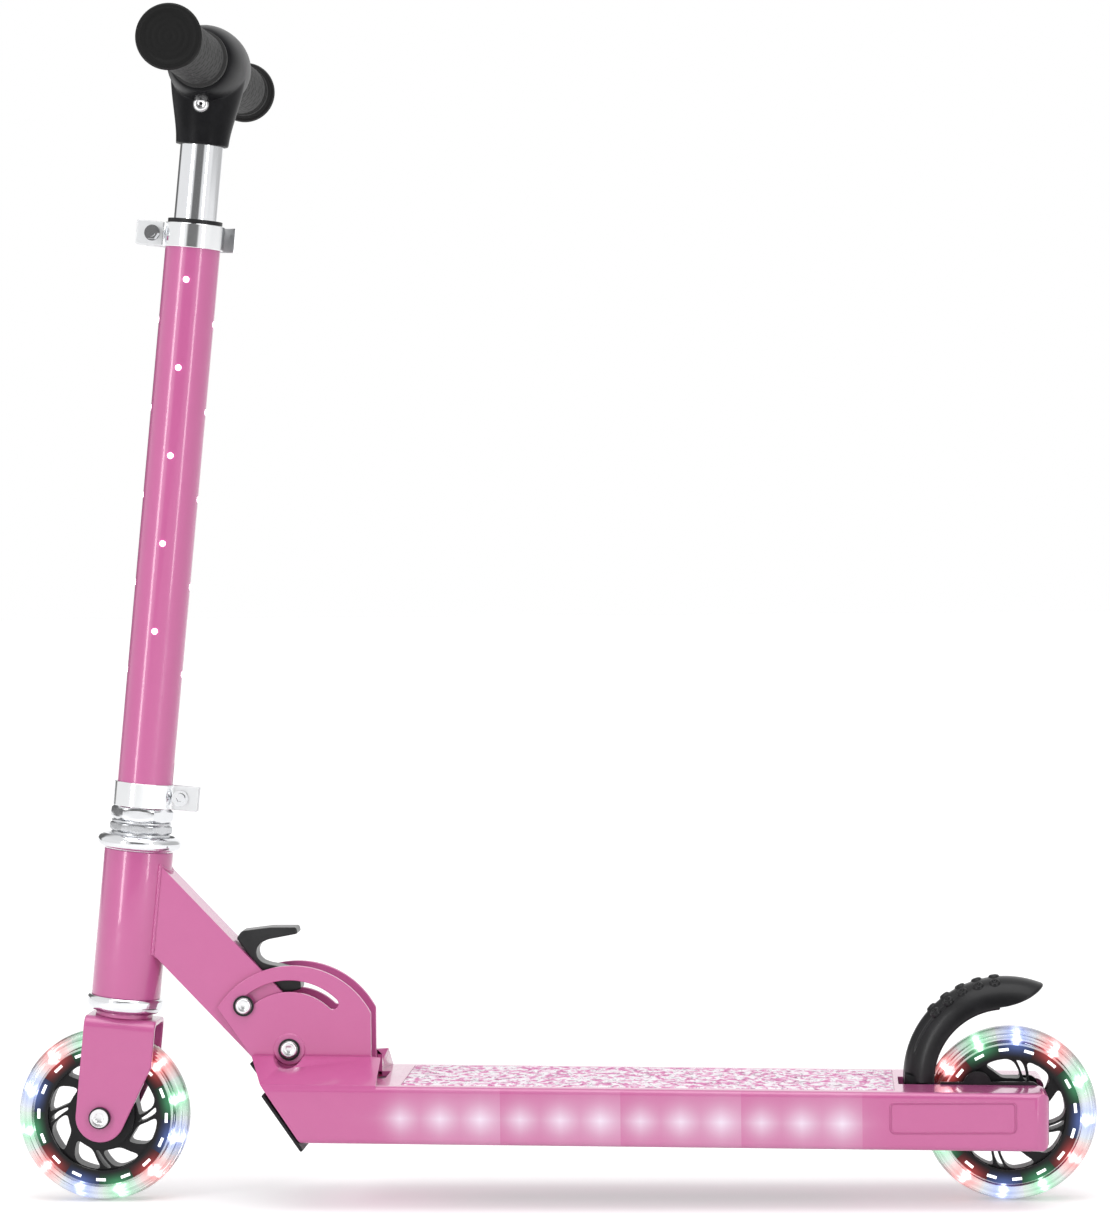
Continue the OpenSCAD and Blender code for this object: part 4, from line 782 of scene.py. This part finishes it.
# Rows of (radius, height) from the faces that carry the axle; a domed collar closes the nut
def makeAxles(a):
    for end, hub in (("front", frontHub), ("rear", rearHub)):
        near, far = aside(hub, -a[end + "Half"]), aside(hub, a[end + "Half"])
        disc, height, socket, bore, nut = a["disc"], a["height"], a["socket"], a["shank"] + 0.05, a["nutHeight"]
        rim = softCorners([(a["shank"], 0), (a["head"], 0), (a["head"], height - 1), (disc + 0.1, height - 0.2)],
                          0.4, closed=False)
        crown = [(disc + 0.1, height - 0.2), (disc, height), (socket + 0.5, height), (socket + 0.2, height - 0.2),
                 (socket, height - 0.5, 1), (socket * 0.95, height - 2.4, 1), (0, height - 2.8)]
        shapes = turnedSet(near, (0, -1, 0), (rim, 1), (crown, 0))
        shapes.append(shankShape(near, aside(far, nut + 2.2), a["shank"]))
        makePiece(end + "Axle", shapes, boltMetals, end + "_axle")
        dome = softCorners([(bore, nut - 0.4), (a["shank"] + 1.5, nut - 0.1), (a["shank"] + 1.2, nut + 1.6),
                            (bore, nut + 1.9)], 0.5)
        shapes = [turned(rows, far, (0, 1, 0), closed=True) for rows in (nutRows(0, nut, bore, a["nut"]), dome)]
        makePiece(end + "AxleNut", shapes, [zinc], end + "_axle_nut")


makeAxles(axleLook)
print("bolts and axles turned")

# Hinge: the neck is slimmer than its frame solid, and the plates stand closer to it
neck = {"half": 19.5, "slim": 13.5, "slope": math.radians(46.4), "plateEnd": -104.8, "in": 6.0, "bead": 1.1,
        "keptFrom": 20.2}


# y is scaled to the slim width
def slimNeck(points):
    return np.column_stack([points[:, 0], points[:, 1] * neck["slim"] / neck["half"], points[:, 2]])


# |y| is cut by the amount that the plates move in, down to nothing
def movedIn(points):
    x, y, z = points.T
    return np.column_stack([x, np.sign(y) * np.maximum(np.abs(y) - mm * neck["in"], 0), z])


# The neck's faces on the head tube are taken off, because the tube is turned as a piece of its own
def dropTube(work):
    cross = np.cross((0, 1, 0), stemUp)
    doomed = []
    for face in work.faces:
        middle = np.array(face.calc_center_median()) - stemFoot
        if math.hypot(middle @ cross, middle[1] * neck["half"] / neck["slim"]) < neck["keptFrom"] * mm:
            doomed.append(face)
    bmesh.ops.delete(work, geom=doomed, context="FACES")


def clipPlate(work):
    geom = work.verts[:] + work.edges[:] + work.faces[:]
    cut = bmesh.ops.bisect_plane(work, geom=geom, plane_co=(neck["plateEnd"] * mm, 0, 0), plane_no=(1, 0, 0),
                                 clear_outer=True)
    edges = [e for e in cut["geom_cut"] if isinstance(e, bmesh.types.BMEdge)]
    bmesh.ops.holes_fill(work, edges=edges)


# Weld round the joint of neck and head tube: on the tube's wall between the planes of the neck's faces
def weldPath(n, h):
    turn = np.arcsin(n["slim"] / (h["tube"] + 0.3))
    cross = unit(np.cross((0, 1, 0), stemUp))
    lift = np.array([math.sin(n["slope"]), 0, math.cos(n["slope"])])

    def onTube(angle, plane):
        around = np.cos(angle)[:, None] * cross + np.sin(angle)[:, None] * np.array([0, 1, 0])
        base = stemFoot + mm * (h["tube"] + 0.2) * around
        height = (plane * mm - (base - foldPin) @ lift) / (stemUp @ lift)
        return base + height[:, None] * stemUp

    sweepAngle = np.linspace(-turn, turn, 40)
    top, low = onTube(sweepAngle, n["half"]), onTube(-sweepAngle, -n["half"])
    share = np.linspace(0, 1, 60)[1:-1, None]
    return np.concatenate([top, top[-1] + share * (low[0] - top[-1]), low, low[-1] + share * (top[0] - low[-1])])


# Release lever: thumb rest over a finger gap, down to the boss on its pin
lever = {
    "half": 9.0, "soft": 1.3, "edge": 0.7,
    "outline": [
        (-183.3, 152.8), (-180.2, 157.0), (-163.8, 159.0), (-148.4, 159.0), (-147.7, 155.3), (-164.8, 152.1),
        (-169.0, 150.2), (-171.2, 147.6), (-171.9, 144.6), (-171.2, 141.4), (-168.6, 138.9), (-164.8, 137.5),
        (-157.0, 136.2), (-150.5, 134.4), (-146.6, 131.0), (-145.9, 123.2), (-152.0, 121.6), (-164.1, 120.2),
        (-168.6, 122.4), (-169.6, 129.0), (-172.4, 137.5)]}


# The weld bead's radius is bead * (1 + 0.16 cos t), with t going round 60 times along its path
def makeHinge(n, h):
    roundedCopy("neck", "neck_frame", pinkPaint, 1.2, slimNeck, dropTube, 3)
    inner = h["tube"] - h["wall"]
    wall = softCorners([(inner, h["tubeFrom"]), (h["tube"], h["tubeFrom"]), (h["tube"], h["tubeTo"]),
                        (inner, h["tubeTo"])], 0.5)
    path = weldPath(n, h)
    ripple = n["bead"] * (1 + 0.16 * np.cos(np.linspace(0, 2 * np.pi * 60, len(path))))
    lift = path - stemFoot
    lift = unit(lift - (lift @ stemUp)[:, None] * stemUp)
    shapes = [turned(wall, stemFoot, stemUp, 128, True), swept(path, mm * ripple, lift, 10, True)]
    makePiece("headTube", shapes, [pinkPaint], "neck_frame", False)
    for side in ("left", "right"):
        roundedCopy("hingePlate" + side.title(), "hinge_plate_" + side, pinkPaint, 0.5, movedIn, clipPlate)
    roundedCopy("leverPin", "lever_pin", zinc, 0.3, movedIn)
    cutPlate("releaseLever", lever, leverBlack, "release_lever")


makeHinge(neck, headset)
print("hinge shaped")

# Rear fender: a half-round channel along an arc, cut to a pointed lip
fender = {"centre": (260, 0, 70), "spine": 42.1, "half": 16.5, "wall": 2.6, "foot": 181.4, "edge": -4.0,
          "tip": (22.4, 54.9), "crease": (42, 122, 163), "creaseDepth": 0.75, "creaseWidth": 0.95,
          "studs": 5, "firstStud": 136, "studStep": 10, "studTilt": 33, "ribs": (-5, 0, 5), "ribHalf": 0.8,
          "ribFrom": 106, "ribTo": 150, "rib": 52.5, "ribTop": 12.6,
          "boss": 5.4, "bore": 2.6, "bossHalf": 13.6, "gap": 4.2, "pin": (206.4, 59.0),
          "stud": [(0, 0.2), (0.8, 0.2), (1.2, 0.5), (1.6, 1.0), (2.1, 1.15), (2.6, 0.9), (3.0, 0.4), (3.5, -0.5)]}


# The lip is a cubic curve from the side's edge to the tip; it gives the end angle for each radius
def lipAngle(f, radius):
    edgeHeight = math.sqrt(f["spine"] ** 2 - f["edge"] ** 2)
    tip = np.array(f["tip"])
    curve = cubicCurve([np.array([f["edge"], edgeHeight]), np.array([f["edge"] + 10, edgeHeight + 1.3]),
                        tip - (7.4, 7.5), tip], 300)
    far = np.hypot(curve[:, 0], curve[:, 1])
    angle = np.degrees(np.arctan2(curve[:, 1], curve[:, 0]))
    straight = np.degrees(np.arccos(np.clip(f["edge"] / radius, -1, 1)))
    return np.where(radius <= far[0], straight, np.interp(radius, far, angle))


# Section: outer arc, round edge, inner arc, round edge. It runs along the arc; at both ends the wall's
# half thickness e closes as e = e0 cos t, while the end moves on by e0 sin t. Each crease is a groove of
# depth exp(-(off / width)^2) with a low ridge beside it, fading in and out between two angles
def fenderShell(f):
    e0 = f["wall"] / 2
    middle = f["half"] - e0
    v = np.radians(np.linspace(-90, 90, 121))
    t = np.linspace(0, np.pi, 8)[1:-1]
    close = np.radians(np.linspace(0, 90, 6))
    share = np.concatenate([np.zeros(5), np.linspace(0, 1, 110), np.ones(5)])
    thick = np.concatenate([np.cos(close[:0:-1]), np.ones(110), np.cos(close[1:])]) * e0
    over = np.concatenate([-np.sin(close[:0:-1]), np.zeros(110), np.sin(close[1:])]) * e0
    around, edge = -np.sin(t)[:, None] * thick, np.cos(t)[:, None] * thick
    arcs = []
    for r, way, quarter in ((middle + thick, v, np.pi / 2), (middle - thick, v[::-1], -np.pi / 2)):
        arcs += [(np.cos(way)[:, None] * r, np.sin(way)[:, None] * r, way),
                 (around, math.copysign(middle, quarter) + edge, np.full(6, quarter))]
    out, side, angle = (np.concatenate(part) for part in zip(*arcs))
    end = lipAngle(f, f["spine"] + middle * np.cos(angle))
    theta = f["foot"] + (end - f["foot"])[:, None] * share - np.degrees(over / (f["spine"] + middle))
    outer = np.zeros(len(angle))
    outer[:121] = 1
    line, low, high = f["crease"]
    off = (np.degrees(np.abs(angle))[:, None] - line) * math.radians(1) * f["half"]
    inside = 1 / (1 + np.exp(-(theta - low) / 1.2)) / (1 + np.exp((theta - high) / 1.2))
    cut = f["creaseDepth"] * inside * outer[:, None] * (np.exp(-(off / f["creaseWidth"]) ** 2)
                                                        - 0.35 * np.exp(-((off + 1.9) / 1.0) ** 2))
    out, side = out - cut * np.cos(angle)[:, None], side - cut * np.sin(angle)[:, None]
    radius, theta = f["spine"] + out, np.radians(theta)
    points = np.stack([radius * np.cos(theta), side, radius * np.sin(theta)], -1)
    return sheetOf(mm * (points + np.array(f["centre"])), True, False)


# Straight slab across the machine with a round outline: middle, outline at y0, outline at y1, middle
def slab(outline, low, high, edge=0.4):
    ring = softCorners(outline, edge)[:, :2]
    middle = ring.mean(0)
    inner = middle + (ring - middle) * (1 - edge / np.abs(ring - middle).max())
    cap = np.tile(middle, (len(ring), 1))
    rows = [(cap, low), (inner, low), (ring, low + edge), (ring, high - edge), (inner, high), (cap, high)]
    points = np.stack([np.column_stack([xz[:, 0], np.full(len(xz), y), xz[:, 1]]) for xz, y in rows])
    return sheetOf(mm * points, False, True)


# Studs: at an angle along the arc and a tilt v across it, one points along cos v * radial + sin v * y
# and stands on the channel's outer face
def studShapes(f, centre):
    for i in range(f["studs"]):
        theta = math.radians(f["firstStud"] - i * f["studStep"])
        radial = np.array([math.cos(theta), 0, math.sin(theta)])
        for tilt in (-f["studTilt"], 0, f["studTilt"]):
            v = math.radians(tilt)
            outwards = math.cos(v) * radial + math.sin(v) * np.array([0, 1, 0])
            seat = centre + mm * (f["spine"] * radial + f["half"] * outwards)
            yield turned(softCorners(f["stud"], 0.5, 3, closed=False), seat, outwards, 28)


# Ribs under the channel: the inner radius r solves |r * heading - wheel| = rib, a circle about the hub
def ribShapes(f, centre):
    theta = np.radians(np.linspace(f["ribFrom"], f["ribTo"], 30))
    heading = np.stack([np.cos(theta), np.sin(theta)], -1)
    wheel = np.array([rearHub[0] / mm - f["centre"][0], rearHub[2] / mm - f["centre"][2]])
    onto = heading @ wheel
    low = np.maximum(onto + np.sqrt(onto ** 2 - wheel @ wheel + f["rib"] ** 2), f["spine"] + 1.5)
    high = np.full(30, f["spine"] + f["ribTop"])
    for y in f["ribs"]:
        points = np.stack([np.stack([r * heading[:, 0], np.full(30, y + s * f["ribHalf"]), r * heading[:, 1]], -1)
                           for r, s in ((low, -1), (high, -1), (high, 1), (low, 1))])
        yield sheetOf(mm * points + centre, True, False)


def makeFender(f):
    centre = mm * np.array(f["centre"])
    shapes = [fenderShell(f), *studShapes(f, centre), *ribShapes(f, centre)]
    px, pz = f["pin"]
    upper = [(px + 4.2, pz + 12), (px - 4.2, pz + 15)]
    for low, high in ((-f["bossHalf"], -f["gap"]), (f["gap"], f["bossHalf"])):
        rows = softCorners([(f["bore"], 0), (f["boss"], 0), (f["boss"], high - low), (f["bore"], high - low)], 0.4)
        shapes.append(turned(rows, mm * np.array([px, low, pz]), (0, 1, 0), 48, True))
        shapes.append(slab([(px - 5.0, pz), (px + 4.6, pz), *upper], low, high))
    shapes.append(slab([(px - 4.6, pz + 7.4), (px + 4.0, pz + 7.4), *upper], -4.6, 4.6))
    makePiece("rearFender", shapes, [fenderBlack], "fender", sharp=50)


makeFender(fender)
print("fender shaped")

# The frame's other pieces with rounded edges
deck = {"well": 23.2, "wellEnd": -98.5, "wellFrom": -90, "shift": 6.0,
        "frame": (193.3, 263.7, 45.5, 62.3), "bead": 0.9, "corner": 3.0, "side": 54.55}


# The well's side walls move in with the hinge plates, and its end wall moves forwards
def slimWell(points):
    moved = points.copy()
    x, y = points[:, 0] / mm, np.abs(points[:, 1]) / mm
    wall = (np.abs(y - deck["well"]) < 0.12) & (x < deck["wellFrom"])
    end = (np.abs(x - deck["wellEnd"]) < 0.35) & (y < deck["well"] + 0.3)
    moved[wall, 1] = np.sign(points[wall, 1]) * (y[wall] - neck["in"]) * mm
    moved[end, 0] = points[end, 0] - mm * deck["shift"]
    return moved


roundedCopy("deckShell", "deck_shell", pinkShell, 0.9, slimWell, steps=3)
for name, node, material, width in (
        ("forkPlates", "fork", pinkPaint, 0.7), ("frontCap", "front_cap", blackMoulding, 0.6),
        ("gripSheet", "grip_mat", gripSheet, 0.4), ("undersideCover", "underside_cover", blackMoulding, 0.5),
        ("rearBracketLeft", "rear_bracket_left", blackCoat, 0.5),
        ("rearBracketRight", "rear_bracket_right", blackCoat, 0.5), ("lowerClamp", "lower_clamp", clampChrome, 0.5),
        ("upperClamp", "upper_clamp", clampChrome, 0.5), ("camLever", "cam_lever", camSilver, 0.5)):
    roundedCopy(name, node, material, width)


# Raised frame on each side of the tail: a round bead along a rectangle with round corners, in a deeper pink as
# painted shade along the raised line
def makeTailFrame(d):
    x0, x1, z0, z1 = d["frame"]
    ring = softCorners([(x0, z0), (x1, z0), (x1, z1), (x0, z1)], d["corner"], 10)[:, :2]
    spread = np.concatenate([np.linspace(ring[i], ring[(i + 1) % len(ring)], 6)[:-1] for i in range(len(ring))])
    keepPoint = np.concatenate([[True], np.linalg.norm(np.diff(spread, axis=0), axis=1) > 0.01])
    spread = spread[keepPoint]
    shapes = []
    for side in (-1, 1):
        path = np.column_stack([spread[:, 0], np.full(len(spread), side * d["side"]), spread[:, 1]])
        lift = np.tile((0.0, float(side), 0.0), (len(path), 1))
        shapes.append(swept(mm * path, mm * d["bead"], lift, 10, True))
    makePiece("tailFrames", shapes, [shadedReliefPink], "deck_shell", False)


makeTailFrame(deck)
print("edges rounded")

# Handlebar tee: a bulging sleeve over the bar, flowing into a collar round the post
tee = {
    "bar": 611.7, "half": 40, "end": 16.7, "bulge": 5.9, "inner": 15.2, "plug": 4, "collar": 565.5, "collarR": 15.3,
    "flare": ((15.4, 12), (21.2, 27), 22.2), "post": 12.7, "voxel": 0.00065, "smooth": 14,
    "bolt": 588.0, "boltSeat": 18.8, "ring": 5.0, "headWasher": 0.5, "head": 4.1, "headHeight": 2.1, "socket": 1.3,
    "shank": 2.4, "nutWasher": 0.5, "nut": 4.3, "nutHeight": 1.6, "over": -0.2}


# Sleeve radius = end + bulge * (1 - (y / half)^2.2)^0.62; collar radius follows a cubic curve up to the bar
def makeTee(t):
    y = np.linspace(-1, 1, 81)
    swell = t["end"] + t["bulge"] * (1 - np.abs(y) ** 2.2) ** 0.62
    outer = [(r, v * t["half"]) for r, v in zip(swell, y)]
    sleeve = [(t["inner"], t["half"]), (t["inner"], t["half"] - t["plug"]), (0, t["half"] - t["plug"])]
    rows = [(r, -v) for r, v in sleeve[::-1]] + outer + sleeve
    (lowR, lowUp), (highR, highUp), barR = t["flare"]
    corner = np.array([(t["collarR"], t["collar"]), (lowR, t["collar"] + lowUp), (highR, t["collar"] + highUp),
                       (barR, t["bar"] - 2)], float)
    flare = [(0, t["collar"] + 4), (t["post"], t["collar"] + 4), (t["post"], t["collar"])]
    flare += cubicCurve(corner, 24).tolist() + [(0, t["bar"])]
    shapes = [turned(rows, stemFoot + stemUp * t["bar"] * mm, (0, 1, 0), 128), turned(flare, stemFoot, stemUp, 128)]
    obj = makePiece("barTee", shapes, [blackSatin], "t_cover", sharp=60)
    remesh = obj.modifiers.new("fused", "REMESH")
    remesh.mode, remesh.voxel_size, remesh.use_smooth_shade = "VOXEL", t["voxel"], True
    flow = obj.modifiers.new("flow", "SMOOTH")
    flow.factor, flow.iterations = 0.5, t["smooth"]
    seat = stemFoot + stemUp * t["bolt"] * mm
    near, far = aside(seat, -t["boltSeat"]), aside(seat, t["boltSeat"])
    shapes = headShapes(near, t) + nutShapes(far, t) + [shankShape(near, far, t["shank"] - 0.1)]
    makePiece("teeBolt", shapes, boltMetals, "t_bolt")


makeTee(tee)
print("tee shaped")

# Studio: a pale floor, a world of plain bands for glossy surfaces, and three soft lamps
studio = {"ambient": 0.60, "floor": 0.86, "floorLift": 0.36, "farLift": 0.55, "near": 0.6, "far": 3.0,
          "ceiling": 0.95, "ceilingFrom": 0.45, "ceilingTo": 0.80}


def makeFloor(s):
    mesh = bpy.data.meshes.new("floor")
    mesh.from_pydata([(-15, -15, 0), (15, -15, 0), (15, 15, 0), (-15, 15, 0)], [], [(0, 1, 2, 3)])
    obj = linked("floor", mesh)
    material, sockets, place = newMaterial("paleFloor", (s["floor"],) * 3, 0.9)
    sockets["Emission Color"].default_value = (1, 1, 1, 1)
    path = outputsOf(get(place.tree, "LightPath"))
    seen = calc("MAXIMUM", calc("MAXIMUM", path["Is Camera Ray"], path["Is Glossy Ray"]), path["Is Transmission Ray"])
    away = vector("LENGTH", place, key="Value")
    lift = between(away, s["near"], s["far"], s["floorLift"], s["farLift"], "SMOOTHSTEP")
    join(sockets, Emission_Strength=seen * lift)
    mesh.materials.append(material)


# What glossy surfaces see, by compass angle: 0 in front, growing to the right, as (degrees, level)
surround = [(-180, 1.15), (-168, 1.15), (-160, 0.16), (-128, 0.16), (-119, 1.0), (-22, 1.0), (-15, 0.20),
            (20, 0.20), (27, 1.0), (70, 1.0), (79, 0.60), (148, 0.60), (160, 1.15), (180, 1.15)]


def makeWorld(s):
    world = bpy.data.worlds.new("studio")
    bpy.context.scene.world = world
    world.use_nodes = True
    tree = world.node_tree
    path = outputsOf(get(tree, "LightPath"))
    x, y, z = split(get(tree, "TexCoord", key="Generated"))
    turn = scaled(calc("ARCTAN2", x, y * -1.0), 1 / (2 * math.pi), 0.5)
    bands = ramp(turn, *[(a / 360 + 0.5, (v, v, v)) for a, v in surround])
    high = between(z, s["ceilingFrom"], s["ceilingTo"], shape="SMOOTHSTEP")
    gloss = get(tree, "RGBToBW", {0: mix(high, bands, (s["ceiling"],) * 3)})
    level = path["Is Glossy Ray"] * gloss + (1.0 - path["Is Glossy Ray"]) * s["ambient"]
    light = tree.nodes["Background"].inputs
    light["Color"].default_value = (1, 1, 1, 1)
    join(light, Strength=calc("MAXIMUM", level, calc("MAXIMUM", path["Is Camera Ray"], path["Is Transmission Ray"])))


def softbox(name, place, aim, width, height, power):
    data = bpy.data.lights.new(name, "AREA")
    data.shape, data.size, data.size_y, data.energy = "RECTANGLE", width, height, power
    obj = linked(name, data)
    obj.location = place
    obj.rotation_mode = "QUATERNION"
    obj.rotation_quaternion = (Vector(aim) - Vector(place)).to_track_quat("-Z", "Y")
    obj.visible_camera = False


makeFloor(studio)
makeWorld(studio)
softbox("topBox", (0.1, -0.6, 2.4), (0, 0, 0.2), 2.2, 1.8, 26)
softbox("leftStrip", (-1.5, -1.7, 0.9), (-0.1, 0, 0.4), 0.3, 1.7, 14)
softbox("rightStrip", (1.6, -1.9, 0.9), (0.0, 0, 0.4), 0.3, 1.7, 12)
bpy.context.scene.view_settings.view_transform = "Standard"
print("studio ready")
